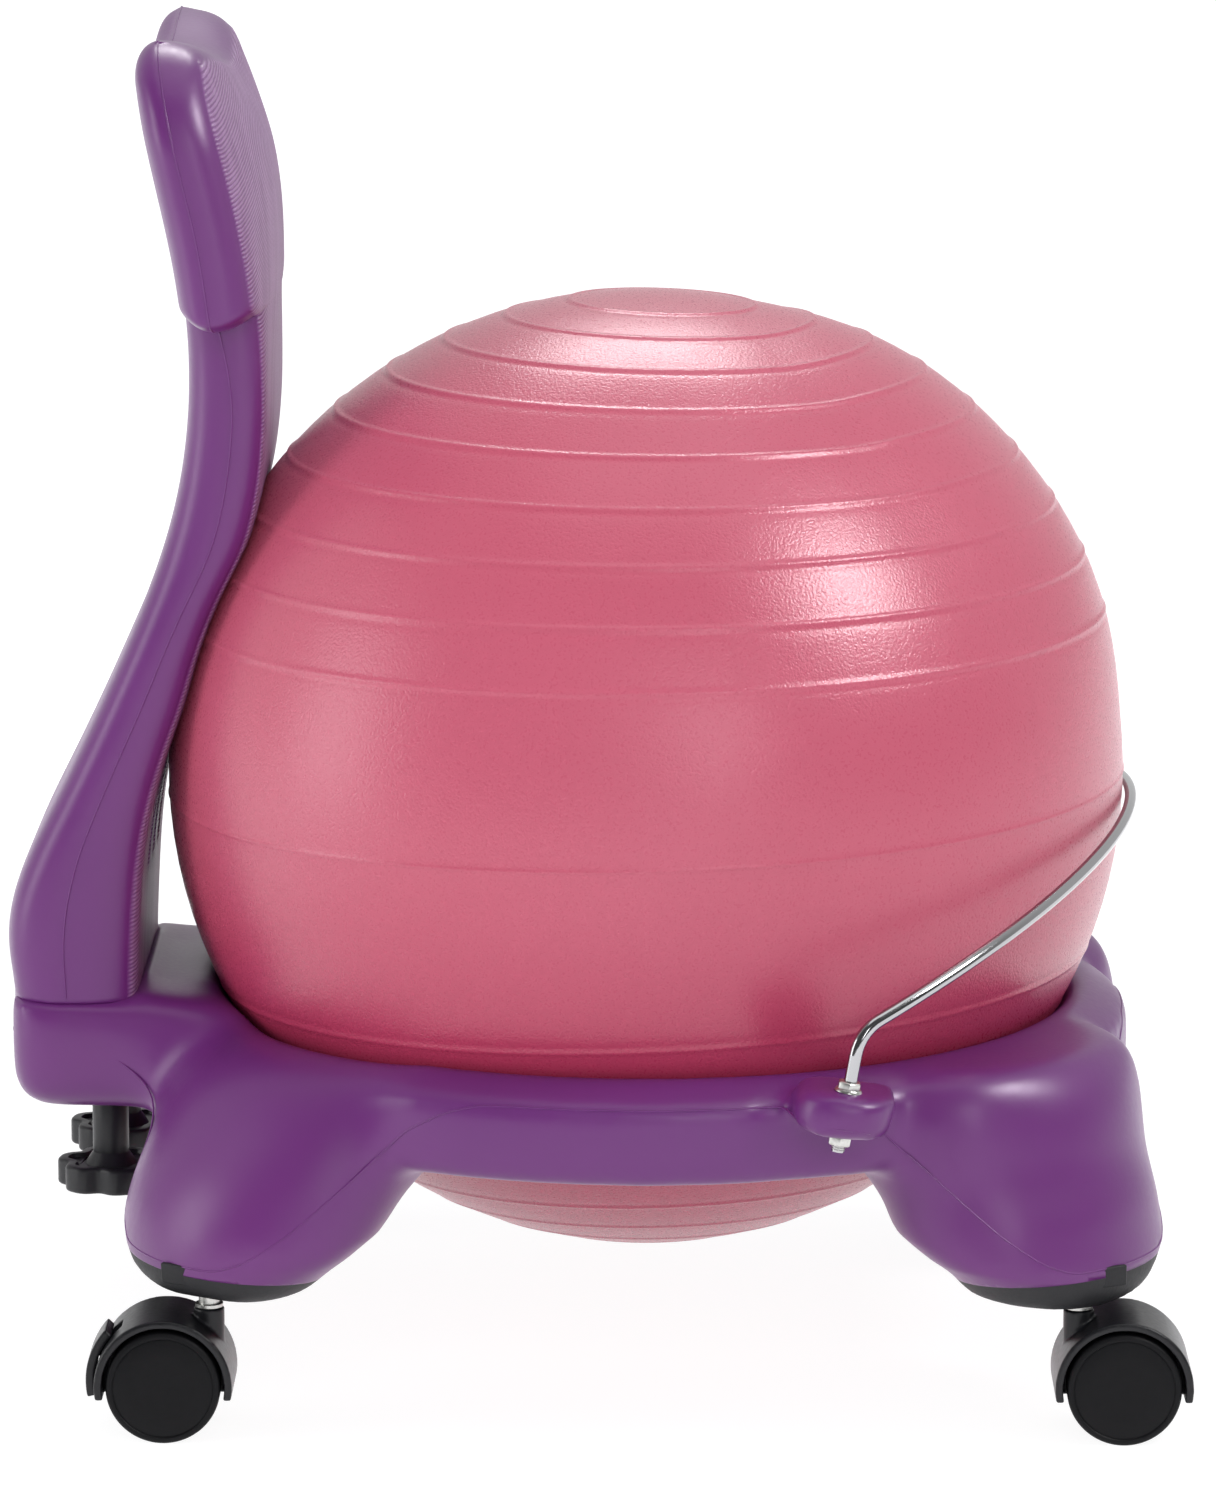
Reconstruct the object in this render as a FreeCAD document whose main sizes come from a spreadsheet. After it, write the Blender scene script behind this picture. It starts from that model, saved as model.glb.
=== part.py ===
import FreeCAD, Part
import math
import os
import re
import Sketcher
from FreeCAD import Placement, Rotation, Vector

# Balance ball chair: a blow-moulded frame on four twin-wheel casters carries an inflated
# ball in a ring, with a bolted-on backrest behind it and a bent rod that keeps the ball in.
# Millimetres. +X is the front of the chair, +Z is up and the floor is z = 0. The origin is
# on the floor under the middle of the chair, and the ball's axis stands forward of it.

doc = FreeCAD.newDocument("BallChair")
sheet = doc.addObject("Spreadsheet::Sheet", "Sizes")

SIZES = [
    # clearances
    ("soft_gap", "0.3"),
    ("running_gap", "0.05"),
    ("seat_gap", "0.3"),
    ("bolt_gap", "0.25"),
    # ball
    ("ball_radius", "190"),
    ("ball_wall", "2"),
    ("rib_tube_radius", "2.5"),
    ("rib_height", "1"),
    ("rib_first_angle", "19.2"),
    ("rib_pitch_angle", "7.46"),
    ("plug_radius", "4"),
    ("plug_head_radius", "7"),
    ("plug_head_height", "1.5"),
    ("plug_length", "11"),
    # casters
    ("wheel_radius", "22"),
    ("wheel_width", "12.5"),
    ("wheel_wall", "3"),
    ("wheel_hub_radius", "6"),
    ("wheel_edge", "1.8"),
    ("wheel_room", "1.5"),
    ("axle_radius", "2.5"),
    ("trail", "17"),
    ("hood_wall", "3"),
    ("hood_web", "13"),
    ("hood_skirt", "5"),
    ("hood_clearance", "2.5"),
    ("neck_wall", "1.8"),
    ("stem_radius", "4"),
    ("stem_depth", "30"),
    ("stem_collar_radius", "5.4"),
    ("stem_collar_height", "1.2"),
    ("stem_head_radius", "4.8"),
    ("stem_head_height", "1.5"),
    ("stem_head_lift", "4.5"),
    ("grip_thickness", "0.8"),
    ("grip_height", "2"),
    ("grip_depth", "5"),
    ("lever_arm_width", "9.6"),
    ("lever_blade_width", "18"),
    ("lever_thickness", "3.5"),
    ("lever_pin_reach", "19"),
    ("lever_pin_angle", "42"),
    ("lever_tip_angle", "12"),
    ("lever_pin_radius", "1.5"),
    ("lever_boss_wall", "2"),
    ("lever_swing_room", "7.5"),
    # frame
    ("wall", "3"),
    ("cap_height", "6"),
    ("cap_taper", "3"),
    ("leg_height", "89"),
    ("ring_height", "40"),
    ("parting_drop", "9"),
    ("lip_slope_width", "16"),
    ("seat_drop", "86"),
    ("seat_width", "20"),
    ("lip_width", "22"),
    ("block_rise", "6"),
    ("block_length", "60"),
    ("block_width", "156"),
    ("block_corner", "16"),
    ("block_round", "13"),
    # legs: how the ovals at the shoulder, arch, ankle and foot stand, and their half sizes;
    # the rear legs have a lower shoulder, the haunch, that falls away from the ring
    ("stem_inset_x", "26"),
    ("stem_inset_y", "43"),
    ("leg_angle", "39"),
    ("shoulder_drop", "1"),
    ("shoulder_inset", "28"),
    ("shoulder_deep", "60"),
    ("shoulder_wide", "65"),
    ("haunch_inset", "42"),
    ("haunch_deep", "50"),
    ("haunch_wide", "62"),
    ("arch_rise", "41"),
    ("arch_inset", "11.5"),
    ("arch_deep", "54"),
    ("arch_wide", "62"),
    ("ankle_rise", "19"),
    ("ankle_inset", "24.5"),
    ("ankle_deep", "38"),
    ("ankle_wide", "52"),
    ("foot_inset", "13.5"),
    ("foot_deep", "27"),
    ("foot_wide", "36"),
    ("socket_wall", "5"),
    # retaining rod and its lugs
    ("rod_radius", "2.5"),
    ("rod_gap", "0.7"),
    ("rod_front_drop", "9"),
    ("rod_side_x", "88"),
    ("rod_side_reach", "6"),
    ("rod_side_rise", "28"),
    ("rod_bend_reach", "9"),
    ("rod_lean", "10"),
    ("rod_tail", "2.5"),
    ("rod_nut_flats", "8"),
    ("rod_nut_height", "4"),
    ("rod_flange_radius", "5.4"),
    ("rod_flange_height", "1.2"),
    ("lug_radius", "14.5"),
    ("lug_height", "17"),
    ("lug_rise", "2"),
    # backrest
    ("back_width", "208"),
    ("back_stem_width", "140"),
    ("back_shoulder_rise", "195"),
    ("back_shoulder_slope", "15"),
    ("back_top_rise", "296"),
    ("back_corner", "42"),
    ("back_shoulder_round", "10"),
    ("back_foot_inset", "4"),
    ("back_foot_depth", "49"),
    ("back_foot_solid", "34"),
    ("groove_width", "12"),
    ("groove_pitch", "28"),
    ("groove_depth", "4"),
    ("groove_low", "42"),
    ("groove_high", "180"),
    ("socket_depth", "3"),
    ("socket_lip", "4"),
    # clamping knobs under the block
    ("knob_inset", "40"),
    ("knob_spread", "66"),
    ("knob_radius", "21.5"),
    ("knob_head_height", "10.5"),
    ("knob_neck_radius", "7.2"),
    ("knob_neck_length", "26"),
    ("knob_scallop_radius", "7"),
    ("knob_cup_depth", "7"),
    ("knob_wall", "3"),
    ("stud_radius", "4"),
    ("stud_reach", "22"),
    ("washer_radius", "11"),
    ("washer_thickness", "1.5"),
    ("nut_flats", "13"),
    ("nut_height", "6.5"),
    ("nut_lift", "8"),
]

# The backrest's side view: at each height above the ball's centre, how far the front face
# stands behind the ball's rearmost point, and how deep the moulding is there.
BACK_STATIONS = [
    ("heel", "-56", "9", "52.5"),
    ("calf", "-8", "4", "40"),
    ("knee", "50", "-16", "32.5"),
    ("waist", "107", "-37.5", "32.5"),
    ("neck", "162", "-43", "30.5"),
    ("chest", "207", "-39", "30"),
    ("brow", "257", "-28", "29.5"),
    ("crown", "280", "-22.5", "28"),
]
for station, rise, lead, depth in BACK_STATIONS:
    SIZES += [(station + "_rise", rise), (station + "_lead", lead), (station + "_depth", depth)]

FOLLOWING = [
    # casters and feet
    ("hood_radius", "=wheel_radius + wheel_room + hood_wall"),
    ("caster_width", "=hood_web + 2 * wheel_width + 2 * seat_gap"),
    ("bore_radius", "=stem_radius + running_gap"),
    ("foot_bottom", "=wheel_radius + hood_radius + hood_clearance"),
    ("neck_top", "=foot_bottom - stem_collar_height - seat_gap"),
    ("head_top", "=wheel_radius + stem_head_lift + stem_head_height"),
    ("stem_top", "=foot_bottom + stem_depth"),
    ("pin_x", "=lever_pin_reach * cos(lever_pin_angle * 1 deg)"),
    ("pin_z", "=lever_pin_reach * sin(lever_pin_angle * 1 deg)"),
    ("lever_boss_radius", "=lever_pin_radius + lever_boss_wall"),
    # frame
    ("foot_height", "=foot_bottom + cap_height"),
    ("lip_height", "=foot_height + leg_height"),
    ("ring_bottom", "=lip_height - ring_height"),
    ("parting_height", "=lip_height - parting_drop"),
    ("block_top", "=lip_height + block_rise"),
    ("ball_centre", "=lip_height + seat_drop"),
    ("seat_radius", "=ball_radius + rib_height + soft_gap"),
    ("lip_radius", "=sqrt(seat_radius * seat_radius - seat_drop * seat_drop)"),
    ("ring_radius", "=lip_radius + lip_width"),
    ("ring_inner_radius", "=lip_radius - seat_width"),
    ("block_rear", "=ring_radius + block_length"),
    ("stem_x", "=ring_radius - stem_inset_x"),
    ("stem_y", "=ring_radius - stem_inset_y"),
    ("stem_along", "=stem_x * cos(leg_angle * 1 deg) + stem_y * sin(leg_angle * 1 deg)"),
    ("stem_across", "=stem_y * cos(leg_angle * 1 deg) - stem_x * sin(leg_angle * 1 deg)"),
    ("shoulder_centre", "=ring_radius - shoulder_inset"),
    ("haunch_centre", "=ring_radius - haunch_inset"),
    ("arch_centre", "=ring_radius - arch_inset"),
    ("foot_centre", "=stem_along - foot_inset"),
    ("ankle_centre", "=stem_along - ankle_inset"),
    ("ball_x", "=(block_rear - stem_x - trail - hood_radius) / 2"),
    # retaining rod: a level-sided bow in a sloping plane, then a bend down to each lug
    ("rod_front", "=ball_radius + rod_gap + rod_radius"),
    ("rod_side_y", "=ring_radius + rod_side_reach"),
    ("rod_run", "=rod_front - rod_side_x"),
    ("rod_rise", "=seat_drop - rod_front_drop - rod_side_rise"),
    ("rod_slope", "=sqrt(rod_run * rod_run + rod_rise * rod_rise)"),
    ("rod_bow_radius", "=(rod_slope * rod_slope + rod_side_y * rod_side_y) / (2 * rod_slope)"),
    ("rod_lead", "=rod_bend_reach * rod_side_y / (rod_bow_radius * rod_slope)"),
    ("rod_corner_x", "=rod_side_x - rod_lead * rod_run"),
    ("rod_corner_y", "=rod_side_y + rod_bend_reach * (1 - rod_slope / rod_bow_radius)"),
    ("rod_corner_z", "=lip_height + rod_side_rise - rod_lead * rod_rise"),
    ("lean_sine", "=sin(rod_lean * 1 deg)"),
    ("lean_cosine", "=cos(rod_lean * 1 deg)"),
    ("lug_top", "=lip_height + lug_rise"),
    ("lug_x", "=ball_x + rod_corner_x - (rod_corner_z - lug_top) * lean_sine / lean_cosine"),
    # backrest and knobs
    ("back_seat", "=block_top - socket_depth"),
    ("foot_rear", "=block_rear - back_foot_inset"),
    ("foot_front", "=foot_rear - back_foot_depth"),
    ("knob_x", "=ball_x - block_rear + knob_inset"),
    ("knob_top", "=ring_bottom - washer_thickness - 2 * running_gap"),
    ("stud_top", "=back_seat + stud_reach"),
]
for row, (alias, text) in enumerate(SIZES + FOLLOWING, start=1):
    sheet.set("A%d" % row, alias)
    sheet.set("B%d" % row, text)
    sheet.setAlias("B%d" % row, alias)
doc.recompute()

NAMES = {alias for alias, text in SIZES + FOLLOWING}
FLAT = Rotation()
ALONG_Y = Rotation(Vector(1, 0, 0), -90)
HALF_TURN = Rotation(Vector(0, 0, 1), 180)
FLOOR = ("0", "0", "0")
CORNERS = [
    ("rear_near", -1, -1),
    ("rear_far", -1, 1),
    ("front_near", 1, -1),
    ("front_far", 1, 1),
]
SIDES = [("near", -1), ("far", 1)]
finished = []


def link(expression):
    """Point the names of sizes in an expression at the sheet."""
    return re.sub(r"[a-z_]+", lambda m: "Sizes." + m.group() if m.group() in NAMES else m.group(),
                  expression)


def value(expression):
    """Work out an expression of sizes as a plain number."""
    return float(sheet.evalExpression(link(expression)))


def bind(item, prop, expression):
    item.setExpression(prop, link(expression))


def place(item, at, turn=FLAT):
    """Set an object's turn and tie its position to three expressions."""
    item.Placement = Placement(Vector(*[value(text) for text in at]), turn)
    for axis, text in zip("xyz", at):
        bind(item, "Placement.Base." + axis, text)
    return item


def primitive(kind, name, sizes, at, turn=FLAT):
    item = doc.addObject(kind, name)
    for prop, expression in sizes.items():
        bind(item, prop, expression)
    return place(item, at, turn)


def cylinder(name, radius, height, at=FLOOR, turn=FLAT):
    return primitive("Part::Cylinder", name, {"Radius": radius, "Height": height}, at, turn)


def box(name, length, width, height, at, turn=FLAT):
    sizes = {"Length": length, "Width": width, "Height": height}
    return primitive("Part::Box", name, sizes, at, turn)


def join(name, items):
    item = doc.addObject("Part::MultiFuse", name)
    item.Shapes = items
    return item


def cut(name, base, tools):
    item = doc.addObject("Part::Cut", name)
    item.Base = base
    item.Tool = tools[0] if len(tools) == 1 else join(name + "_tools", tools)
    return item


def finish(item, node, at=None, turn=FLAT):
    """Name a finished piece and, where it is drawn about its own axis, put it in place."""
    item.Label = node
    if at:
        place(item, at, turn)
    finished.append(item)
    return item


def new_body(name):
    return doc.addObject("PartDesign::Body", name)


def new_sketch(body, name, role="XY_Plane", lift=None):
    sketch = body.newObject("Sketcher::SketchObject", name)
    plane = next(item for item in body.Origin.OriginFeatures if item.Role == role)
    sketch.AttachmentSupport = [(plane, "")]
    sketch.MapMode = "FlatFace"
    if lift:
        bind(sketch, "AttachmentOffset.Base.z", lift)
    return sketch


def fix_point(sketch, index, point, across, up):
    """Tie a point of a sketch to two expressions."""
    for kind, text in (("DistanceX", across), ("DistanceY", up)):
        number = sketch.addConstraint(
            Sketcher.Constraint(kind, -1, 1, index, point, value(text)))
        sketch.setExpression("Constraints[%d]" % number, link(text))


def polygon(sketch, points):
    """Draw a closed outline whose corners are tied to expressions."""
    corners = [Vector(value(across), value(up), 0) for across, up in points]
    count = len(points)
    for index in range(count):
        sketch.addGeometry(Part.LineSegment(corners[index], corners[(index + 1) % count]), False)
    for index in range(count):
        sketch.addConstraint(Sketcher.Constraint("Coincident", index, 2, (index + 1) % count, 1))
    for index, (across, up) in enumerate(points):
        fix_point(sketch, index, 1, across, up)


def circle(sketch, radius, across="0", up="0"):
    centre = Vector(value(across), value(up), 0)
    index = sketch.addGeometry(Part.Circle(centre, Vector(0, 0, 1), value(radius)), False)
    fix_point(sketch, index, 3, across, up)
    number = sketch.addConstraint(Sketcher.Constraint("Radius", index, value(radius)))
    sketch.setExpression("Constraints[%d]" % number, link(radius))


def hexagon(sketch, flats):
    """Draw a hexagon of a given width across its flats, with corners on the X axis."""
    points = []
    for corner in range(6):
        turn = "(%d deg)" % (60 * corner)
        points.append(("(%s) / sqrt(3) * cos%s" % (flats, turn),
                       "(%s) / sqrt(3) * sin%s" % (flats, turn)))
    polygon(sketch, points)


def pad(body, name, sketch, length, down=False):
    item = body.newObject("PartDesign::Pad", name)
    item.Profile = sketch
    item.Reversed = down
    bind(item, "Length", length)
    return item


def pocket(body, name, sketch, length, up=False):
    item = body.newObject("PartDesign::Pocket", name)
    item.Profile = sketch
    item.Reversed = up
    bind(item, "Length", length)
    return item


def revolve(body, name, sketch):
    item = body.newObject("PartDesign::Revolution", name)
    item.Profile = sketch
    item.ReferenceAxis = (sketch, ["V_Axis"])
    item.Angle = 360
    return item


# Frame. The same rules draw the outer skin and, one wall further in, the hollow inside.

def oval_loft(name, sections, inset="0"):
    """Loft ovals, each a height, a distance from the ball's axis, a depth and a width."""
    ovals = []
    for index, (height, centre, deep, wide) in enumerate(sections):
        oval = doc.addObject("Part::Ellipse", "%s_oval_%d" % (name, index))
        bind(oval, "MajorRadius", "%s - %s" % (wide, inset))
        bind(oval, "MinorRadius", "%s - %s" % (deep, inset))
        place(oval, (centre, "0", height), Rotation(Vector(0, 0, 1), 90))
        ovals.append(oval)
    item = doc.addObject("Part::Loft", name)
    item.Sections = ovals
    item.Solid = True
    return item


def corner_turn(along, across):
    """The turn from straight ahead to the leg at a corner."""
    angle = math.radians(value("leg_angle"))
    angle = math.atan2(across * math.sin(angle), along * math.cos(angle))
    return Rotation(Vector(0, 0, 1), math.degrees(angle))


def edges_of(item, chosen):
    """The names of an object's straight edges whose middle and direction are chosen."""
    names = []
    for number, edge in enumerate(item.Shape.Edges, start=1):
        middle = edge.valueAt((edge.FirstParameter + edge.LastParameter) / 2)
        way = edge.tangentAt(edge.FirstParameter)
        if chosen(middle, way):
            names.append("Edge%d" % number)
    return names


def fillet(body, name, base, edges, radius):
    item = body.newObject("PartDesign::Fillet", name)
    item.Base = (base, edges)
    bind(item, "Radius", radius)
    doc.recompute()
    return item


def ring_form(name, inset):
    """The ring's outside: an upright band under a shoulder that slopes up to the ball."""
    body = new_body(name)
    sketch = new_sketch(body, name + "_profile", "XZ_Plane")
    side = "ring_radius - %s" % inset
    polygon(sketch, [
        ("0", "ring_bottom + %s" % inset),
        (side + " - wall", "ring_bottom + %s" % inset),
        (side, "ring_bottom + %s + wall" % inset),
        (side, "parting_height"),
        (side + " - lip_slope_width", "lip_height - %s" % inset),
        ("0", "lip_height - %s" % inset),
    ])
    revolve(body, name + "_turned", sketch)
    return place(body, ("ball_x", "0", "0"))


def block_form(name, inset):
    """The block that reaches back under the backrest, rounded at its rear and underneath."""
    body = new_body(name)
    sketch = new_sketch(body, name + "_plan", lift="ring_bottom + %s" % inset)
    rear = "ball_x - block_rear + %s" % inset
    front = "ball_x - ring_inner_radius"
    side = "(block_width / 2 - %s)" % inset
    polygon(sketch, [(rear, "-" + side), (front, "-" + side), (front, side), (rear, side)])
    raised = pad(body, name + "_pad", sketch, "block_top - ring_bottom - 2 * %s" % inset)
    doc.recompute()
    middle = value(rear + " + " + front) / 2
    uprights = edges_of(raised, lambda at, way: abs(way.z) > 0.9 and at.x < middle)
    turned = fillet(body, name + "_corners", raised, uprights, "block_corner - %s" % inset)
    low = value("ring_bottom + %s" % inset)
    under = edges_of(turned, lambda at, way: abs(at.z - low) < 0.01 and at.x < value(front) - 1)
    fillet(body, name + "_underside", turned, under, "block_round - %s" % inset)
    return body


def frame_form(name, inset):
    """Ring, block and four legs, drawn one inset inside the outer skin."""
    pieces = [ring_form(name + "_ring", inset), block_form(name + "_block", inset)]
    for corner, along, across in CORNERS:
        top = "shoulder" if along > 0 else "haunch"
        sections = [
            ("lip_height - shoulder_drop - %s" % inset, top + "_centre",
             top + "_deep - lip_slope_width", top + "_wide - lip_slope_width"),
            ("parting_height", top + "_centre", top + "_deep", top + "_wide"),
            ("foot_height + arch_rise", "arch_centre", "arch_deep", "arch_wide"),
            ("foot_height + ankle_rise", "ankle_centre", "ankle_deep", "ankle_wide"),
            ("foot_height + %s" % inset, "foot_centre", "foot_deep", "foot_wide"),
        ]
        leg = oval_loft("%s_leg_%s" % (name, corner), sections, inset)
        pieces.append(place(leg, ("ball_x", "0", "0"), corner_turn(along, across)))
    return join(name, pieces)


def ball_room(name, form, inset):
    """Take out the ball's room: the bore of the ring, then the seat that opens above it."""
    bore = cylinder(name + "_bore", "ring_inner_radius + %s" % inset, "block_top",
                    ("ball_x", "0", "0"))
    seat = primitive("Part::Sphere", name + "_seat", {"Radius": "seat_radius + %s" % inset},
                     ("ball_x", "0", "ball_centre"))
    return cut(name, cut(name + "_bored", form, [bore]), [seat])


skin = ball_room("skin", frame_form("outer", "0"), "0")
hollow = ball_room("hollow", frame_form("inner", "wall"), "wall")
shell = cut("shell", skin, [hollow])

# Sockets for the caster stems and columns round the clamping studs stand in the hollow.
added = [shell]
removed = []
for corner, along, across in CORNERS:
    foot = ("ball_x + %d * stem_x" % along, "%d * stem_y" % across, "foot_height")
    added.append(cylinder("socket_" + corner, "bore_radius + socket_wall",
                          "stem_depth - cap_height + socket_wall", foot))
    removed.append(cylinder("socket_bore_" + corner, "bore_radius",
                            "stem_depth - cap_height + seat_gap", foot))
for side, across in SIDES:
    under = ("knob_x", "%d * knob_spread / 2" % across, "ring_bottom")
    added.append(cylinder("stud_column_" + side, "stud_radius + bolt_gap + wall",
                          "back_seat - ring_bottom", under))
    removed.append(cylinder("stud_bore_" + side, "stud_radius + bolt_gap",
                            "block_top - ring_bottom", under))

# The backrest stands in a shallow seat in the block, with a lip along its front.
added.append(box("seat_floor", "back_foot_depth + 2 * wall", "back_stem_width + 2 * wall",
                 "socket_depth + wall",
                 ("ball_x - foot_rear - wall + seat_gap", "-back_stem_width / 2 - wall",
                  "back_seat - wall")))
added.append(box("seat_lip", "socket_lip", "back_stem_width", "socket_lip + wall",
                 ("ball_x - foot_front + seat_gap", "-back_stem_width / 2",
                  "block_top - wall")))
removed.append(box("seat_recess", "back_foot_depth + 2 * seat_gap",
                   "back_stem_width + 2 * seat_gap", "socket_depth + socket_lip",
                   ("ball_x - foot_rear - seat_gap", "-back_stem_width / 2 - seat_gap",
                    "back_seat")))

# The lugs for the rod stand off the ring, square to the leaning ends of the rod.
LEAN = Rotation(Vector(0, 1, 0), value("rod_lean"))
web_length = "(rod_corner_y - ring_radius + lug_radius)"
for side, across in SIDES:
    foot = ("lug_x - lug_height * lean_sine", "%d * rod_corner_y" % across,
            "lug_top - lug_height * lean_cosine")
    added.append(cylinder("lug_" + side, "lug_radius", "lug_height", foot, LEAN))
    web_start = "-rod_corner_y" if across < 0 else "rod_corner_y - %s" % web_length
    added.append(box("lug_web_" + side, "2 * lug_radius", web_length, "lug_height",
                     (foot[0] + " - lug_radius * lean_cosine", web_start,
                      foot[2] + " + lug_radius * lean_sine"), LEAN))
    removed.append(cylinder("lug_bore_" + side, "rod_radius + bolt_gap", "3 * lug_height",
                            ("lug_x - 2 * lug_height * lean_sine", foot[1],
                             "lug_top - 2 * lug_height * lean_cosine"), LEAN))
finish(cut("frame_drilled", join("frame_joined", added), removed), "base_frame")

# Ball: an inflated skin with moulded ribs, stopped by a push-in plug at its lower pole.
ball_parts = [primitive("Part::Sphere", "ball_skin", {"Radius": "ball_radius"}, FLOOR)]
ring_reach = "(ball_radius + rib_height - rib_tube_radius)"
for index in range(9):
    angle = "((rib_first_angle + %d * rib_pitch_angle) * 1 deg)" % index
    for hemisphere, sign in (("upper", 1), ("lower", -1)):
        ball_parts.append(primitive(
            "Part::Torus", "rib_%s_%d" % (hemisphere, index),
            {"Radius1": "%s * cos%s" % (ring_reach, angle), "Radius2": "rib_tube_radius"},
            ("0", "0", "%d * %s * sin%s" % (sign, ring_reach, angle))))
ball_hollow = primitive("Part::Sphere", "ball_air", {"Radius": "ball_radius - ball_wall"}, FLOOR)
plug_hole = cylinder("plug_hole", "plug_radius + running_gap", "plug_length",
                     ("0", "0", "-ball_radius - wall"))
finish(cut("ball_cut", join("ball_ribbed", ball_parts), [ball_hollow, plug_hole]), "ball",
       ("ball_x", "0", "ball_centre"))

plug = new_body("plug")
plug_sketch = new_sketch(plug, "plug_profile", "XZ_Plane")
polygon(plug_sketch, [
    ("0", "-plug_head_height"),
    ("plug_head_radius - plug_head_height", "-plug_head_height"),
    ("plug_head_radius", "0"),
    ("plug_radius", "0"),
    ("plug_radius", "plug_length - plug_head_height"),
    ("0", "plug_length - plug_head_height"),
])
revolve(plug, "plug_turned", plug_sketch)
finish(plug, "ball_plug", ("ball_x", "0", "ball_centre - ball_radius"))


# Foot caps and casters. Each caster is drawn about its stem, with its wheels towards +X.

def foot_cap(corner, hand):
    """The cap under a foot, drawn along its leg, which the stem stands a little beside."""
    form = oval_loft("cap_form_" + corner, [
        ("0", "foot_centre", "foot_deep - cap_taper", "foot_wide - cap_taper"),
        ("cap_height", "foot_centre", "foot_deep", "foot_wide"),
    ])
    bore = cylinder("cap_bore_" + corner, "bore_radius", "cap_height",
                    ("stem_along", "%d * stem_across" % hand, "0"))
    return cut("cap_" + corner, form, [bore])


def stem(corner):
    """A steel stem: rivet head in the hood, collar under the cap, groove for the grip."""
    body = new_body("stem_" + corner)
    sketch = new_sketch(body, "stem_profile_" + corner, "XZ_Plane")
    groove_low = "stem_top - grip_depth - grip_height - 2 * running_gap"
    groove_high = "stem_top - grip_depth"
    polygon(sketch, [
        ("0", "head_top - stem_head_height"),
        ("stem_head_radius", "head_top - stem_head_height"),
        ("stem_head_radius", "head_top"),
        ("stem_radius", "head_top"),
        ("stem_radius", "foot_bottom - stem_collar_height"),
        ("stem_collar_radius", "foot_bottom - stem_collar_height"),
        ("stem_collar_radius", "foot_bottom"),
        ("stem_radius", "foot_bottom"),
        ("stem_radius", groove_low),
        ("stem_radius - grip_thickness", groove_low),
        ("stem_radius - grip_thickness", groove_high),
        ("stem_radius", groove_high),
        ("stem_radius", "stem_top"),
        ("0", "stem_top"),
    ])
    revolve(body, "stem_turned_" + corner, sketch)
    return body


def grip_ring(corner):
    """A split spring ring that holds the stem in its socket."""
    body = new_body("grip_" + corner)
    sketch = new_sketch(body, "grip_plan_" + corner)
    circle(sketch, "stem_radius")
    circle(sketch, "stem_radius - grip_thickness + running_gap")
    pad(body, "grip_pad_" + corner, sketch, "grip_height")
    slit = new_sketch(body, "grip_slit_plan_" + corner)
    polygon(slit, [("0", "-grip_thickness"), ("2 * stem_radius", "-grip_thickness"),
                   ("2 * stem_radius", "grip_thickness"), ("0", "grip_thickness")])
    pocket(body, "grip_slit_" + corner, slit, "2 * grip_height", up=True)
    return body


def hood(corner, braked):
    """The swivelling hood: an arched cover over both wheels on a web that holds the axle."""
    middle = "-caster_width / 2"
    axis = ("trail", middle, "wheel_radius")
    name = "hood_%s_" % corner
    arch = cut(name + "arch", cylinder(name + "cover", "hood_radius", "caster_width", axis, ALONG_Y),
               [cylinder(name + "room", "hood_radius - hood_wall", "caster_width", axis, ALONG_Y)])
    web = cylinder(name + "web", "hood_radius - hood_wall / 2", "hood_web",
                   ("trail", "-hood_web / 2", "wheel_radius"), ALONG_Y)
    neck = cylinder(name + "neck", "bore_radius + neck_wall", "neck_top - wheel_radius",
                    ("0", "0", "wheel_radius"))
    tools = [
        box(name + "open_below", "3 * hood_radius", "2 * caster_width", "2 * hood_radius",
            ("trail - 1.5 * hood_radius", "-caster_width",
             "wheel_radius - hood_skirt - 2 * hood_radius")),
        cylinder(name + "stem_bore", "bore_radius", "foot_bottom"),
        cylinder(name + "head_room", "stem_head_radius + seat_gap", "head_top + seat_gap"),
        cylinder(name + "axle_bore", "axle_radius", "hood_web",
                 ("trail", "-hood_web / 2", "wheel_radius"), ALONG_Y),
    ]
    if braked:
        tools.append(box(name + "lever_room", "hood_radius", "lever_arm_width + 2 * seat_gap",
                         "pin_z + lever_swing_room",
                         ("trail + pin_x - lever_boss_radius - seat_gap",
                          "-lever_arm_width / 2 - seat_gap", "wheel_radius")))
        tools.append(cylinder(name + "pin_bore", "lever_pin_radius", "hood_web",
                              ("trail + pin_x", "-hood_web / 2", "wheel_radius + pin_z"),
                              ALONG_Y))
    return cut(name + "cut", join(name + "joined", [arch, web, neck]), tools)


def wheel(name):
    """A dished wheel with a closed outer face, drawn with its inner side on z = 0."""
    body = new_body(name)
    sketch = new_sketch(body, name + "_profile", "XZ_Plane")
    bore = "axle_radius + running_gap"
    face = "wheel_width - wheel_wall"
    polygon(sketch, [
        (bore, "0"),
        ("wheel_hub_radius", "0"),
        ("wheel_hub_radius", face),
        ("wheel_radius - wheel_wall", face),
        ("wheel_radius - wheel_wall", "0"),
        ("wheel_radius - wheel_edge / 2", "0"),
        ("wheel_radius", "wheel_edge / 2"),
        ("wheel_radius", "wheel_width - wheel_edge"),
        ("wheel_radius - wheel_edge / 2", "wheel_width - wheel_edge / 3"),
        ("wheel_radius - 2 * wheel_edge", "wheel_width"),
        ("0", "wheel_width"),
        ("0", face),
        (bore, face),
    ])
    revolve(body, name + "_turned", sketch)
    return body


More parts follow.
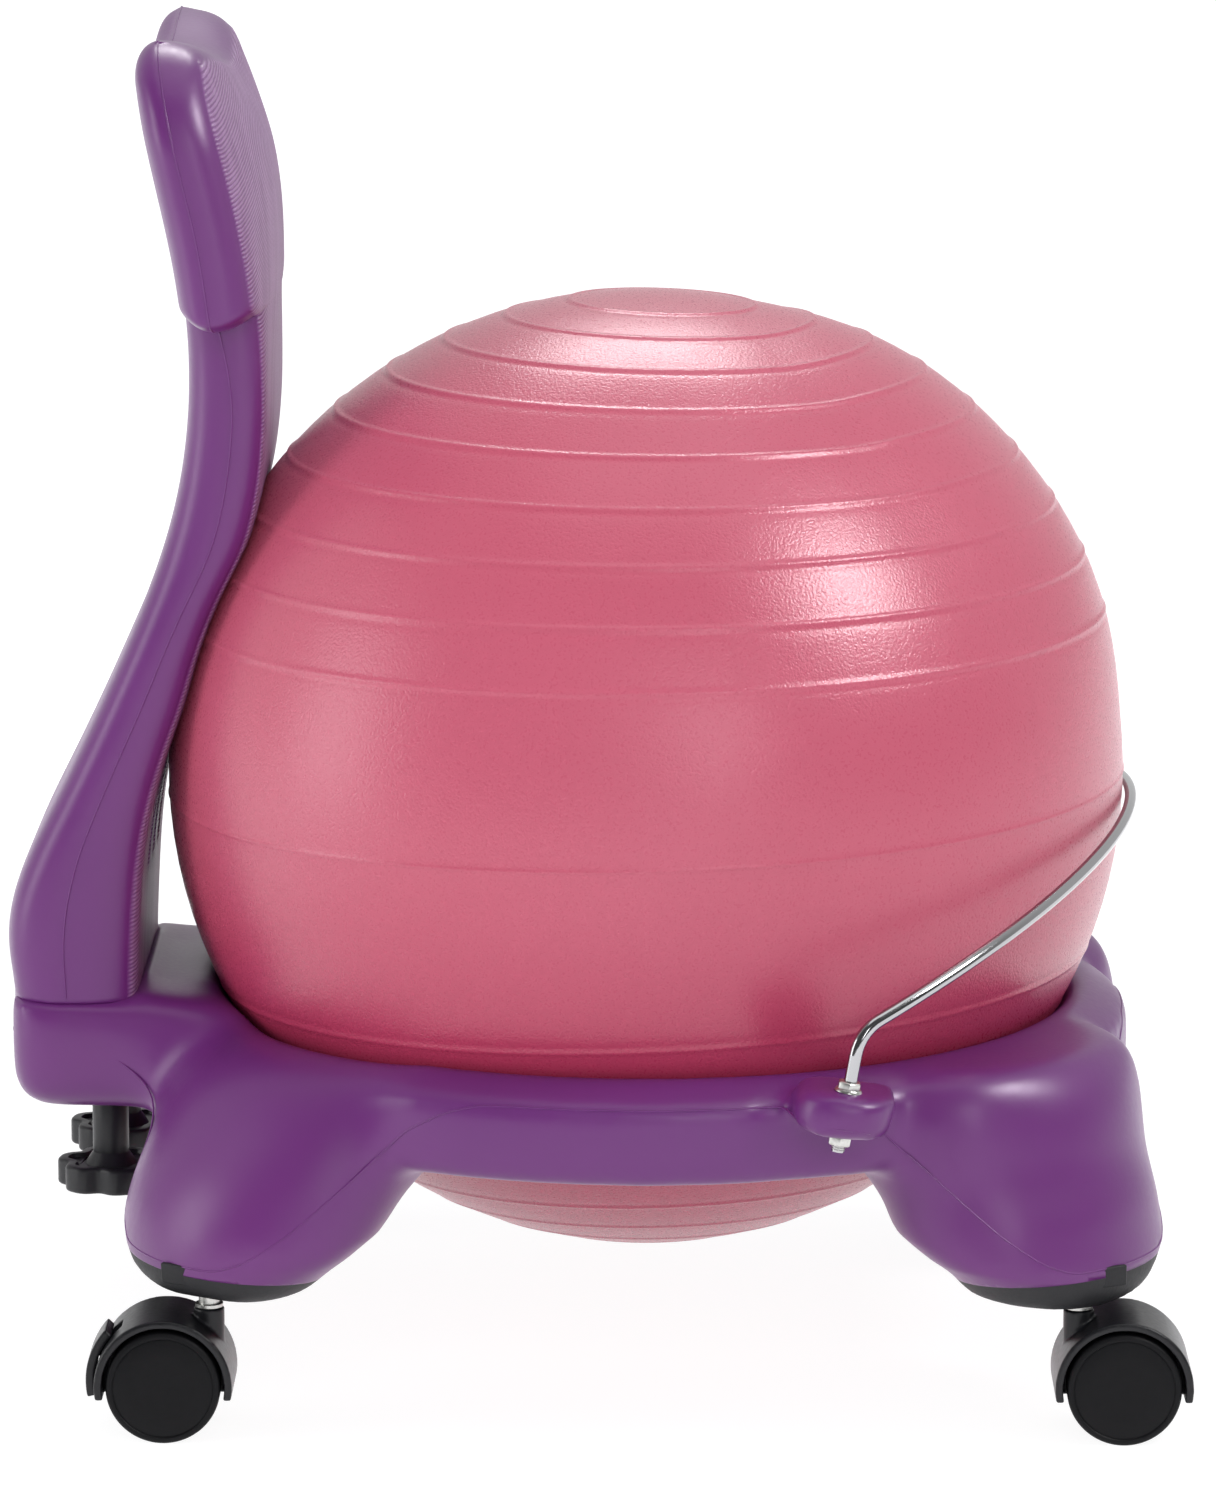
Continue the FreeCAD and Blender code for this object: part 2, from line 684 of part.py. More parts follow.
def lever(corner):
    """A brake lever: a curved blade outside the hood on an arm that turns on a pin."""
    name = "lever_%s_" % corner
    sweep = "lever_pin_angle + lever_tip_angle"
    middle = ("trail", "-lever_blade_width / 2", "wheel_radius")
    blade_turn = ALONG_Y.multiply(Rotation(Vector(0, 0, 1), -value("lever_pin_angle")))
    outside = primitive("Part::Cylinder", name + "outside",
                        {"Radius": "hood_radius + seat_gap + lever_thickness",
                         "Height": "lever_blade_width", "Angle": sweep}, middle, blade_turn)
    inside = cylinder(name + "inside", "hood_radius + seat_gap", "lever_blade_width", middle,
                      ALONG_Y)
    blade = cut(name + "blade", outside, [inside])
    pin = ("trail + pin_x", "-lever_arm_width / 2", "wheel_radius + pin_z")
    boss = cylinder(name + "boss", "lever_boss_radius", "lever_arm_width", pin, ALONG_Y)
    arm = box(name + "arm", "hood_radius - pin_x", "lever_arm_width", "lever_boss_radius",
              (pin[0], pin[1], pin[2] + " - lever_boss_radius"))
    bore = cylinder(name + "bore", "lever_pin_radius + running_gap", "lever_arm_width", pin,
                    ALONG_Y)
    return cut(name + "cut", join(name + "joined", [blade, boss, arm]), [bore])


for corner, along, across in CORNERS:
    turn = FLAT if along > 0 else HALF_TURN
    at = ("ball_x + %d * stem_x" % along, "%d * stem_y" % across, "0")
    axle_x = "ball_x + %d * (stem_x + trail)" % along
    finish(foot_cap(corner, along * across), "foot_cap_" + corner, ("ball_x", "0", "foot_bottom"),
           corner_turn(along, across))
    finish(stem(corner), "caster_stem_" + corner, at, turn)
    finish(grip_ring(corner), "grip_ring_" + corner,
           (at[0], at[1], "stem_top - grip_depth - grip_height - running_gap"), turn)
    finish(hood(corner, along < 0), "caster_hood_" + corner, at, turn)
    axle_half = "(hood_web / 2 + wheel_width - wheel_wall)"
    finish(cylinder("axle_" + corner, "axle_radius", "2 * " + axle_half), "caster_axle_" + corner,
           (axle_x, "%s - %s" % (at[1], axle_half), "wheel_radius"), ALONG_Y)
    for side, sign in SIDES:
        finish(wheel("wheel_%s_%s" % (corner, side)), "wheel_%s_%s" % (corner, side),
               (axle_x, "%s + %d * (hood_web / 2 + seat_gap)" % (at[1], sign), "wheel_radius"),
               Rotation(Vector(1, 0, 0), -90 * sign))
    if along < 0:
        finish(lever(corner), "brake_lever_" + corner, at, turn)
        finish(cylinder("lever_pin_" + corner, "lever_pin_radius", "hood_web"),
               "lever_pin_" + corner,
               (axle_x + " - pin_x", at[1] + " - hood_web / 2", "wheel_radius + pin_z"), ALONG_Y)


# Retaining rod: one bent steel wire with a nut above and below each lug.

def rod_path():
    """The rod's centre line: leaning end, bend, bow round the ball's front and back again."""
    shift = Vector(value("ball_x"), 0, 0)
    front = Vector(value("rod_front"), 0, value("ball_centre - rod_front_drop")) + shift
    side = Vector(value("rod_side_x"), -value("rod_side_y"),
                  value("lip_height + rod_side_rise")) + shift
    corner = Vector(value("rod_corner_x"), -value("rod_corner_y"), value("rod_corner_z")) + shift
    down = Vector(-value("lean_sine"), 0, -value("lean_cosine"))
    bend = value("rod_bend_reach")
    end_drop = value("(rod_corner_z - lug_top) / lean_cosine + lug_height + rod_nut_height"
                     " + rod_tail")
    start = corner + down * bend
    end = corner + down * end_drop
    out = (side - corner).normalize()
    centre_way = (out + down).normalize()
    half_angle = math.acos(min(1.0, -out.dot(down))) / 2
    radius = bend / math.tan(half_angle)
    middle = corner + centre_way * (radius / math.cos(half_angle) - radius)

    def far(point):
        return Vector(point.x, -point.y, point.z)

    edges = [
        Part.LineSegment(end, start),
        Part.Arc(start, middle, side),
        Part.Arc(side, front, far(side)),
        Part.Arc(far(side), far(middle), far(start)),
        Part.LineSegment(far(start), far(end)),
    ]
    return Part.Wire([edge.toShape() for edge in edges])


path = rod_path()
first = path.Edges[0]
section = Part.Wire(Part.makeCircle(value("rod_radius"), first.Vertexes[0].Point,
                                    first.tangentAt(first.FirstParameter)))
rod = doc.addObject("Part::Feature", "rod")
rod.Shape = path.makePipeShell([section], True, False)
finish(rod, "retaining_rod")


def rod_nut(name, flanged):
    body = new_body(name)
    sketch = new_sketch(body, name + "_plan")
    hexagon(sketch, "rod_nut_flats")
    pad(body, name + "_pad", sketch, "rod_nut_height")
    if flanged:
        flange = new_sketch(body, name + "_flange_plan")
        circle(flange, "rod_flange_radius")
        pad(body, name + "_flange", flange, "rod_flange_height")
    bore = new_sketch(body, name + "_bore_plan")
    circle(bore, "rod_radius + running_gap")
    pocket(body, name + "_bore", bore, "2 * rod_nut_height", up=True)
    return body


for side, across in SIDES:
    finish(rod_nut("rod_nut_upper_" + side, True), "rod_nut_upper_" + side,
           ("lug_x", "%d * rod_corner_y" % across, "lug_top"), LEAN)
    below = "(lug_height + rod_nut_height)"
    finish(rod_nut("rod_nut_lower_" + side, False), "rod_nut_lower_" + side,
           ("lug_x - %s * lean_sine" % below, "%d * rod_corner_y" % across,
            "lug_top - %s * lean_cosine" % below), LEAN)


# Backrest: a blow-moulded panel whose side view and front view are drawn apart and meet.

def rounded_wire(corners):
    """A closed wire through points, each with the radius that rounds it there."""
    count = len(corners)
    ends = []
    for index, (point, radius) in enumerate(corners):
        back = (corners[index - 1][0] - point).normalize()
        ahead = (corners[(index + 1) % count][0] - point).normalize()
        half_angle = back.getAngle(ahead) / 2
        reach = radius / math.tan(half_angle)
        bulge = point + (back + ahead).normalize() * (radius / math.sin(half_angle) - radius)
        ends.append((point + back * reach, bulge, point + ahead * reach, radius))
    edges = []
    for index, (enter, bulge, leave, radius) in enumerate(ends):
        if radius:
            edges.append(Part.Arc(enter, bulge, leave).toShape())
        edges.append(Part.LineSegment(leave, ends[(index + 1) % count][0]).toShape())
    return Part.Wire(edges)


def side_solid(front_inset, inset, width):
    """The side view, pulled to a width: smooth front and rear lines and a round top."""
    axis = value("ball_x")
    low = value("back_seat")
    knee = value("block_top + socket_lip")
    front = [Vector(axis - value("foot_front") - front_inset, 0, knee)]
    rear = [Vector(axis - value("foot_rear") + inset, 0, knee)]
    for station, rise, lead, depth in BACK_STATIONS:
        height = value("ball_centre + %s_rise" % station)
        face = axis - value("ball_radius + %s_lead" % station)
        front.append(Vector(face - front_inset, 0, height))
        rear.append(Vector(face - value(station + "_depth") + inset, 0, height))
    top = Vector((front[-1].x + rear[-1].x) / 2, 0,
                 value("ball_centre + back_top_rise") - inset)
    lines = []
    for points in (front, rear):
        curve = Part.BSplineCurve()
        curve.interpolate(points)
        lines.append(curve.toShape())
        lines.append(Part.LineSegment(Vector(points[0].x, 0, low), points[0]).toShape())
    lines.append(Part.Arc(front[-1], top, rear[-1]).toShape())
    lines.append(Part.LineSegment(Vector(front[0].x, 0, low), Vector(rear[0].x, 0, low)).toShape())
    face = Part.Face(Part.Wire(Part.__sortEdges__(lines)))
    solid = face.extrude(Vector(0, width, 0))
    solid.translate(Vector(0, -width / 2, 0))
    return solid


def front_solid(inset):
    """The front view, pulled through the whole depth: a wide panel on a narrower stem."""
    panel = value("back_width / 2") - inset
    stem_side = value("back_stem_width / 2") - inset
    low = value("back_seat")
    shoulder = value("ball_centre + back_shoulder_rise")
    spread = value("back_shoulder_slope")
    top = value("ball_centre + back_top_rise") - inset
    corner = value("back_corner") - inset
    bend = value("back_shoulder_round")
    half = [
        (stem_side, low, 0),
        (stem_side, shoulder - spread / 2, bend),
        (panel, shoulder + spread / 2 + inset, bend),
        (panel, top, corner),
    ]
    corners = [(Vector(0, across, up), radius) for across, up, radius in half]
    corners += [(Vector(0, -across, up), radius) for across, up, radius in reversed(half)]
    depth = value("block_rear") * 2
    solid = Part.Face(rounded_wire(corners)).extrude(Vector(depth, 0, 0))
    solid.translate(Vector(value("ball_x") - depth, 0, 0))
    return solid


def groove_slabs(widening):
    """Upright slabs where the stem's front face is grooved."""
    slabs = []
    low = value("block_top + groove_low") - widening
    high = value("block_top + groove_high") + widening
    width = value("groove_width") + 2 * widening
    depth = value("block_rear")
    for step in (-1, 0, 1):
        across = step * value("groove_pitch") - width / 2
        slabs.append(Part.makeBox(depth, width, high - low,
                                  Vector(value("ball_x") - depth, across, low)))
    return slabs[0].multiFuse(slabs[1:])


def back_form(inset):
    """The backrest's skin, or its hollow when drawn one wall further in."""
    width = value("back_width")
    room = Part.makeSphere(value("seat_radius") + inset,
                           Vector(value("ball_x"), 0, value("ball_centre")))
    form = side_solid(inset, inset, width).common(front_solid(inset)).cut(room)
    behind = side_solid(inset + value("groove_depth"), inset - value("wall"), width)
    return form.cut(groove_slabs(inset).cut(behind))


wall = value("wall")
solid_foot = Part.makeBox(value("2 * block_rear"), value("back_width"), value("back_foot_solid"),
                          Vector(value("ball_x - 2 * block_rear"), value("-back_width / 2"),
                                 value("back_seat")))
back = back_form(0).cut(back_form(wall).cut(solid_foot))
for side, across in SIDES:
    at = Vector(value("knob_x"), across * value("knob_spread / 2"), value("back_seat"))
    back = back.cut(Part.makeCylinder(value("stud_radius + bolt_gap"),
                                      value("stud_reach + bolt_gap"), at))
    corner_reach = value("(nut_flats / 2 + running_gap) / cos(30 deg)")
    at.z += value("nut_lift")
    points = [at + Vector(corner_reach * math.cos(math.radians(60 * step)),
                          corner_reach * math.sin(math.radians(60 * step)), 0)
              for step in range(7)]
    back = back.cut(Part.Face(Part.makePolygon(points)).extrude(
        Vector(0, 0, value("nut_height + 2 * running_gap"))))
backrest = doc.addObject("Part::Feature", "backrest_form")
backrest.Shape = back
finish(backrest, "backrest")


# Clamping knobs: each turns a stud through the block into a nut held in the backrest.

def knob(name):
    """A lobed head, cupped underneath, on a tall neck, drawn down from the washer."""
    body = new_body(name)
    neck = new_sketch(body, name + "_neck_plan")
    circle(neck, "knob_neck_radius")
    pad(body, name + "_neck", neck, "knob_neck_length", down=True)
    head = new_sketch(body, name + "_head_plan", lift="-knob_neck_length")
    circle(head, "knob_radius")
    pad(body, name + "_head", head, "knob_head_height", down=True)
    scallop = new_sketch(body, name + "_scallop_plan", lift="-knob_neck_length")
    circle(scallop, "knob_scallop_radius", "knob_radius + knob_scallop_radius / 3")
    notch = pocket(body, name + "_scallop", scallop, "2 * knob_head_height")
    doc.recompute()
    around = body.newObject("PartDesign::PolarPattern", name + "_scallops")
    around.Originals = [notch]
    around.Axis = (scallop, ["N_Axis"])
    around.Angle = 360
    around.Occurrences = 6
    body.Tip = around
    cup = new_sketch(body, name + "_cup_plan", lift="-knob_neck_length - knob_head_height")
    circle(cup, "knob_radius - knob_scallop_radius - knob_wall / 2")
    circle(cup, "knob_neck_radius")
    pocket(body, name + "_cup", cup, "knob_cup_depth", up=True)
    bore = new_sketch(body, name + "_bore_plan")
    circle(bore, "stud_radius")
    pocket(body, name + "_bore", bore, "knob_neck_length + knob_head_height - knob_wall")
    return body


def ring_pad(name, outer, inner, height):
    body = new_body(name)
    sketch = new_sketch(body, name + "_plan")
    circle(sketch, outer)
    circle(sketch, inner)
    pad(body, name + "_pad", sketch, height)
    return body


for side, across in SIDES:
    along_y = "%d * knob_spread / 2" % across
    finish(knob("knob_" + side), "knob_" + side, ("knob_x", along_y, "knob_top"))
    stud_low = "knob_top - knob_neck_length - knob_head_height + knob_wall"
    finish(cylinder("stud_" + side, "stud_radius", "stud_top - (%s)" % stud_low),
           "knob_stud_" + side, ("knob_x", along_y, stud_low))
    finish(ring_pad("washer_" + side, "washer_radius", "stud_radius + bolt_gap",
                    "washer_thickness"),
           "knob_washer_" + side, ("knob_x", along_y, "knob_top + running_gap"))
    nut = new_body("nut_" + side)
    nut_sketch = new_sketch(nut, "nut_plan_" + side)
    hexagon(nut_sketch, "nut_flats")
    circle(nut_sketch, "stud_radius + running_gap")
    pad(nut, "nut_pad_" + side, nut_sketch, "nut_height")
    finish(nut, "captive_nut_" + side,
           ("knob_x", along_y, "back_seat + nut_lift + running_gap"))

doc.recompute()

for item in doc.Objects:
    if "Invalid" in item.State or "Error" in item.State:
        raise RuntimeError("%s failed" % item.Name)
os.makedirs("parts", exist_ok=True)
for item in finished:
    if item.Shape.isNull() or not item.Shape.isValid() or not item.Shape.Solids:
        raise RuntimeError("%s has no good shape" % item.Label)
for item in finished:
    item.Shape.exportStep("parts/%s.step" % item.Label)
    print(item.Label, len(item.Shape.Solids), round(item.Shape.Volume / 1000, 2))
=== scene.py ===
import math

import bmesh
import bpy
from mathutils import Matrix, Vector


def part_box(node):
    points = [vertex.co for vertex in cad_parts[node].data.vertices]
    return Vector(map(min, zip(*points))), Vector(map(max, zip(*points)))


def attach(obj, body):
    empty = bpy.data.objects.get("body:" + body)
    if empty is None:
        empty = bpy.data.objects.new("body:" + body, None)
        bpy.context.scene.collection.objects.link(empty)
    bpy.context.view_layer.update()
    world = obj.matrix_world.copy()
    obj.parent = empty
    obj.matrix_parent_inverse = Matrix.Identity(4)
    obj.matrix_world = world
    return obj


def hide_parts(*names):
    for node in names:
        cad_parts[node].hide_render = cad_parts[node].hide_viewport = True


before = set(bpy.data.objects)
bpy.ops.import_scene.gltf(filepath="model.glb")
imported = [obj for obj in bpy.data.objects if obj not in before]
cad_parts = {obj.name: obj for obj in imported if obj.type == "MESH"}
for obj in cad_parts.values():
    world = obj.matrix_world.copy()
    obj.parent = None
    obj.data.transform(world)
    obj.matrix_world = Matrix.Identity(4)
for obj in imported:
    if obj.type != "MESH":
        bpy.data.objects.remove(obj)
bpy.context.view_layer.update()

# Frame moulding. One hollow blow-moulded piece of purple polyethylene: the ring that the
# ball sits in, the block behind it and the four legs flow into each other in soft curves.
# The mould's halves leave a fine raised line that dips over each leg.

CENTRE_X = sum(corner.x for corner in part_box("ball")) / 2
CENTRE_Z = sum(corner.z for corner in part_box("ball")) / 2


def take_up(piece):
    """Work on one piece alone, with nothing else selected."""
    if bpy.context.object and bpy.context.object.mode != "OBJECT":
        bpy.ops.object.mode_set(mode="OBJECT")
    bpy.ops.object.select_all(action="DESELECT")
    piece.select_set(True)
    bpy.context.view_layer.objects.active = piece
    return piece


def shape_with(piece, kind, **settings):
    """Put a modifier on a piece and apply it."""
    take_up(piece)
    tool = piece.modifiers.new(kind.lower(), kind)
    for name, setting in settings.items():
        setattr(tool, name, setting)
    bpy.ops.object.modifier_apply(modifier=tool.name)
    return piece


def linked(name, data):
    """A new object in the scene, taken up to be worked on."""
    piece = bpy.data.objects.new(name, data)
    bpy.context.collection.objects.link(piece)
    return take_up(piece)


MERGE_GAP = 0.00002


def outer_skin(node, name):
    """A merged copy of a hollow moulding, without the walls of its hollow."""
    linked(name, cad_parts[node].data.copy())
    bpy.ops.object.mode_set(mode="EDIT")
    bpy.ops.mesh.select_all(action="SELECT")
    bpy.ops.mesh.remove_doubles(threshold=MERGE_GAP)
    bpy.ops.mesh.separate(type="LOOSE")
    bpy.ops.object.mode_set(mode="OBJECT")
    shells = list(bpy.context.selected_objects)
    shells.sort(key=lambda shell: shell.dimensions.length)
    for shell in shells[:-1]:
        bpy.data.objects.remove(shell)
    skin = shells[-1]
    skin.name = name
    skin.data.materials.clear()
    return skin


def relaxed(piece, rounds, share_at):
    """Relax a skin, each place by its own share from 0 to 1."""
    flowing = piece.vertex_groups.new(name="flowing")
    for vertex in piece.data.vertices:
        flowing.add([vertex.index], min(1, max(0, share_at(vertex.co))), "REPLACE")
    shape_with(piece, "SMOOTH", factor=0.5, iterations=rounds, vertex_group=flowing.name)
    piece.vertex_groups.clear()


def moulded(piece, grain, rounds, share_at=lambda place: 1):
    """Let a moulding's corners flow: remesh it evenly and relax it."""
    shape_with(piece, "REMESH", mode="VOXEL", voxel_size=grain)
    relaxed(piece, rounds, share_at)
    take_up(piece)
    bpy.ops.object.shade_smooth()
    return piece


def new_material(name, colour, roughness):
    """A plain material, with its nodes, links and shader at hand."""
    material = bpy.data.materials.new(name)
    material.use_nodes = True
    shader = material.node_tree.nodes["Principled BSDF"]
    shader.inputs["Base Color"].default_value = (*colour, 1)
    shader.inputs["Roughness"].default_value = roughness
    return material, material.node_tree.nodes, material.node_tree.links, shader


def speckle(nodes, links, scale, detail=4.0):
    """A noise over the piece in object space."""
    place = nodes.new("ShaderNodeTexCoord")
    noise = nodes.new("ShaderNodeTexNoise")
    noise.inputs["Scale"].default_value = scale
    noise.inputs["Detail"].default_value = detail
    links.new(place.outputs["Object"], noise.inputs["Vector"])
    return noise.outputs["Fac"]


def blend_colours(nodes, links, factor, low, high):
    """Colour a surface between two shades by a factor."""
    ramp = nodes.new("ShaderNodeValToRGB")
    ramp.color_ramp.elements[0].position = 0.3
    ramp.color_ramp.elements[0].color = (*low, 1)
    ramp.color_ramp.elements[1].position = 0.7
    ramp.color_ramp.elements[1].color = (*high, 1)
    links.new(factor, ramp.inputs["Fac"])
    return ramp.outputs["Color"]


def spread(nodes, links, factor, low, high):
    """Carry a factor from 0..1 to a range."""
    reach = nodes.new("ShaderNodeMapRange")
    reach.inputs["To Min"].default_value = low
    reach.inputs["To Max"].default_value = high
    links.new(factor, reach.inputs["Value"])
    return reach.outputs["Result"]


def raise_by(nodes, links, height, distance, strength, under=None):
    """Bump the surface by a height in metres."""
    bump = nodes.new("ShaderNodeBump")
    bump.inputs["Distance"].default_value = distance
    bump.inputs["Strength"].default_value = strength
    links.new(height, bump.inputs["Height"])
    if under:
        links.new(under, bump.inputs["Normal"])
    return bump.outputs["Normal"]


def grain_skin(nodes, links, shader, scale, detail, gloss, height, strength, under=None):
    """Let one fine grain vary a surface's gloss and raise it a little."""
    grain = speckle(nodes, links, scale, detail)
    links.new(spread(nodes, links, grain, *gloss), shader.inputs["Roughness"])
    links.new(raise_by(nodes, links, grain, height, strength, under), shader.inputs["Normal"])


PURPLE = (0.158, 0.0248, 0.189)
PURPLE_DEEP = (0.141, 0.021, 0.172)
WAVE_HEIGHT = 0.0012
MOULD_GRAIN_HEIGHT = 0.0001


def purple_plastic(name):
    """Satin polyethylene with the mould's faint grain and slow waves in its skin."""
    material, nodes, links, shader = new_material(name, PURPLE, 0.36)
    cloud = speckle(nodes, links, 9)
    links.new(blend_colours(nodes, links, cloud, PURPLE_DEEP, PURPLE), shader.inputs["Base Color"])
    waves = raise_by(nodes, links, speckle(nodes, links, 16, 1), WAVE_HEIGHT, 0.35)
    grain_skin(nodes, links, shader, 420, 3, (0.32, 0.42), MOULD_GRAIN_HEIGHT, 0.35, waves)
    return material


FRAME_PLASTIC = purple_plastic("purple_moulded_plastic")


def join_to(piece, others):
    """Make other objects part of a piece."""
    take_up(piece)
    for other in others:
        other.select_set(True)
    bpy.ops.object.join()


def pick_faces(piece, wanted):
    """In edit mode, select the faces that pass a test and nothing else."""
    bpy.ops.mesh.select_all(action="DESELECT")
    mesh = bmesh.from_edit_mesh(piece.data)
    for face in mesh.faces:
        face.select = wanted(face)
    bmesh.update_edit_mesh(piece.data)


CORNERS = [("rear_near", -1, -1), ("rear_far", -1, 1), ("front_near", 1, -1),
           ("front_far", 1, 1)]
LEG_ANGLE = 39
LEG_REACH = 0.205
FOOT_MIDDLE = 0.225
FOOT_FLARE = [(0.045, 0.24), (0.056, 0.28), (0.066, 0.27), (0.076, 0.17), (0.088, 0.07),
              (0.1, 0.01), (0.115, 0)]
FOOT_REACH = 0.095
FOOT_FADE = 0.03
FOOT_SWAY = 0.002
SWAY_TOP = 0.115
SWAY_RUN = 0.05
HEEL_PULL = 0.005
HEEL_LOW = 0.084
HEEL_RISE = 0.026
HEEL_REACH = 0.196
LUG_SPREAD = 0.3
LUG_REACH = 0.045
LUG_FADE = 0.025
PARTING_HEIGHT = 0.0592
PARTING_SLOPE = 0.14
FOOT_TOP = 0.078
RIM_REACH = 0.044
RIM_LIFT = 0.0052
RIM_MOST = 1.3


def outward_of(along, across, angle=LEG_ANGLE):
    """A level direction out from under the ball, a leg's own if no angle is given."""
    lean = math.radians(angle)
    return Vector((along * math.cos(lean), across * math.sin(lean), 0))


def ease(share):
    """A smooth step from 0 to 1."""
    share = min(1, max(0, share))
    return share * share * (3 - 2 * share)


def read_off(table, place):
    """The value of a table of places and values, on a straight run between two rows."""
    for (start, low), (end, high) in zip(table, table[1:]):
        if place <= end:
            return low + (high - low) * min(1, max(0, (place - start) / (end - start)))
    return table[-1][1]


def flare_leg(piece, along, across):
    """Widen a leg towards its foot and draw its outer side in above, as in the photo."""
    outward = outward_of(along, across)
    middle = outward * FOOT_MIDDLE
    for vertex in piece.data.vertices:
        flat = Vector((vertex.co.x - CENTRE_X, vertex.co.y, 0))
        if flat.x * along < 0 or flat.y * across < 0:
            continue
        height = vertex.co.z
        reach = ease((FOOT_REACH - (flat - middle).length) / FOOT_FADE)
        moved = (flat - middle) * read_off(FOOT_FLARE, height) * reach
        moved.x -= FOOT_SWAY * ease((SWAY_TOP - height) / SWAY_RUN) * reach
        pull = ease((height - HEEL_LOW) / HEEL_RISE)
        pull *= ease((flat.dot(outward) - HEEL_REACH) / FOOT_FADE)
        vertex.co += moved - outward * (HEEL_PULL * pull)


def spread_lug(piece, nut):
    """Let the lug that holds the rod run out wider along the ring."""
    low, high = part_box(nut)
    lug = (low + high) / 2
    for vertex in piece.data.vertices:
        apart = vertex.co - lug
        near = ease((LUG_REACH - apart.xy.length) / LUG_FADE)
        vertex.co.x += apart.x * LUG_SPREAD * near


def on_foot(place, along, across):
    """Whether a place is on one corner's foot."""
    return place.z < FOOT_TOP and (place.x - CENTRE_X) * along > 0 and place.y * across > 0


def part_foot(piece, along, across, keep_cap):
    """Cut a foot along the slanting line where the rubber cap meets the plastic."""
    outward = outward_of(along, across)
    take_up(piece)
    bpy.ops.object.mode_set(mode="EDIT")
    pick_faces(piece, lambda face: on_foot(face.calc_center_median(), along, across))
    if keep_cap:
        bpy.ops.mesh.select_all(action="INVERT")
        bpy.ops.mesh.delete(type="FACE")
        bpy.ops.mesh.select_all(action="SELECT")
    middle = Vector((CENTRE_X, 0, PARTING_HEIGHT)) + outward * LEG_REACH
    across_cut = Vector((0, 0, 1)) - outward * PARTING_SLOPE
    bpy.ops.mesh.bisect(plane_co=middle, plane_no=across_cut.normalized(), use_fill=True,
                        clear_inner=not keep_cap, clear_outer=keep_cap)
    bpy.ops.object.mode_set(mode="OBJECT")


def lift_rim(piece, corner, along, across):
    """Curve a foot's underside up towards its rim, like a boat."""
    low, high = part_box("foot_cap_" + corner)
    stem_low, stem_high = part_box("caster_stem_" + corner)
    middle = ((low + high) / 2).lerp((stem_low + stem_high) / 2, 0.5)
    for vertex in piece.data.vertices:
        if on_foot(vertex.co, along, across):
            rim = min(RIM_MOST, (vertex.co - middle).xy.length / RIM_REACH)
            vertex.co.z += RIM_LIFT * rim * rim * (FOOT_TOP - vertex.co.z) / (FOOT_TOP - low.z)


moulding = outer_skin("base_frame", "frame_moulding")
join_to(moulding, [outer_skin("foot_cap_" + corner, "cap") for corner, _, _ in CORNERS])
STEMS = [(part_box("caster_stem_" + corner)[0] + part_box("caster_stem_" + corner)[1]) / 2
         for corner, _, _ in CORNERS]
UNDERSIDE = 0.052
UNDERSIDE_RUN = 0.01
UNDERSIDE_SHARE = 0.4
STEM_CLEAR = 0.010
STEM_FADE = 0.012
ARCH_LOW = 0.066
ARCH_LOW_RUN = 0.012
ARCH_HIGH = 0.136
ARCH_HIGH_RUN = 0.02
HOLLOW = Vector((CENTRE_X - 0.178, 0.130, 0.122))
HOLLOW_REACH = 0.1
FRAME_GRAIN = 0.0026
FRAME_ROUNDS = 24
ARCH_ROUNDS = 30
HOLLOW_ROUNDS = 180


def off_the_stems(place):
    """Everything flows, the feet's undersides less, and not where the casters' stems go in."""
    rise = (place.z - UNDERSIDE) / UNDERSIDE_RUN
    if rise > 1:
        return 1
    clear = (min((place - stem).xy.length for stem in STEMS) - STEM_CLEAR) / STEM_FADE
    return min(clear, UNDERSIDE_SHARE + (1 - UNDERSIDE_SHARE) * ease(rise))


def under_the_ring(place):
    """The arches between the legs run softly into the widened feet."""
    rising = ease((place.z - ARCH_LOW) / ARCH_LOW_RUN)
    return rising * ease((ARCH_HIGH - place.z) / ARCH_HIGH_RUN)


def behind_the_leg(place):
    """Behind each rear leg, the leg and the block run together in one wide hollow curve."""
    apart = Vector((place.x, abs(place.y), place.z)) - HOLLOW
    return (HOLLOW_REACH - apart.length) / (HOLLOW_REACH / 2)


moulded(moulding, FRAME_GRAIN, FRAME_ROUNDS, off_the_stems)
for corner, along, across in CORNERS:
    flare_leg(moulding, along, across)
for side in ("near", "far"):
    spread_lug(moulding, "rod_nut_upper_" + side)
relaxed(moulding, ARCH_ROUNDS, under_the_ring)
relaxed(moulding, HOLLOW_ROUNDS, behind_the_leg)
whole = linked("whole_form", moulding.data.copy())
for corner, along, across in CORNERS:
    part_foot(moulding, along, across, False)
    lift_rim(moulding, corner, along, across)
moulding.data.materials.append(FRAME_PLASTIC)
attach(moulding, "frame")
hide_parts("base_frame")

# How high the mould line runs at each angle away from a leg, on the side of an open arch
# and on the side of the rear block.
ARCH_SIDE = [(0, 0.068), (7, 0.068), (10, 0.073), (13, 0.083), (16, 0.097), (19, 0.111),
             (23, 0.124), (28, 0.133), (32, 0.1365), (36, 0.137)]
BLOCK_SIDE = [(0, 0.068), (7, 0.069), (10, 0.077), (13, 0.095), (16, 0.115), (19, 0.13),
              (22, 0.136), (25, 0.137)]
LINE_RADIUS = 0.0004
LINE_STEPS = 720
LINE_START = 0.32
LINE_DEPTH = 0.19


def line_height(angle):
    """The height of the frame's mould line at an angle round the ball's axis."""
    front_back = angle if angle <= 90 else 180 - angle
    side = BLOCK_SIDE if angle > 180 - LEG_ANGLE else ARCH_SIDE
    return read_off(side, abs(front_back - LEG_ANGLE))


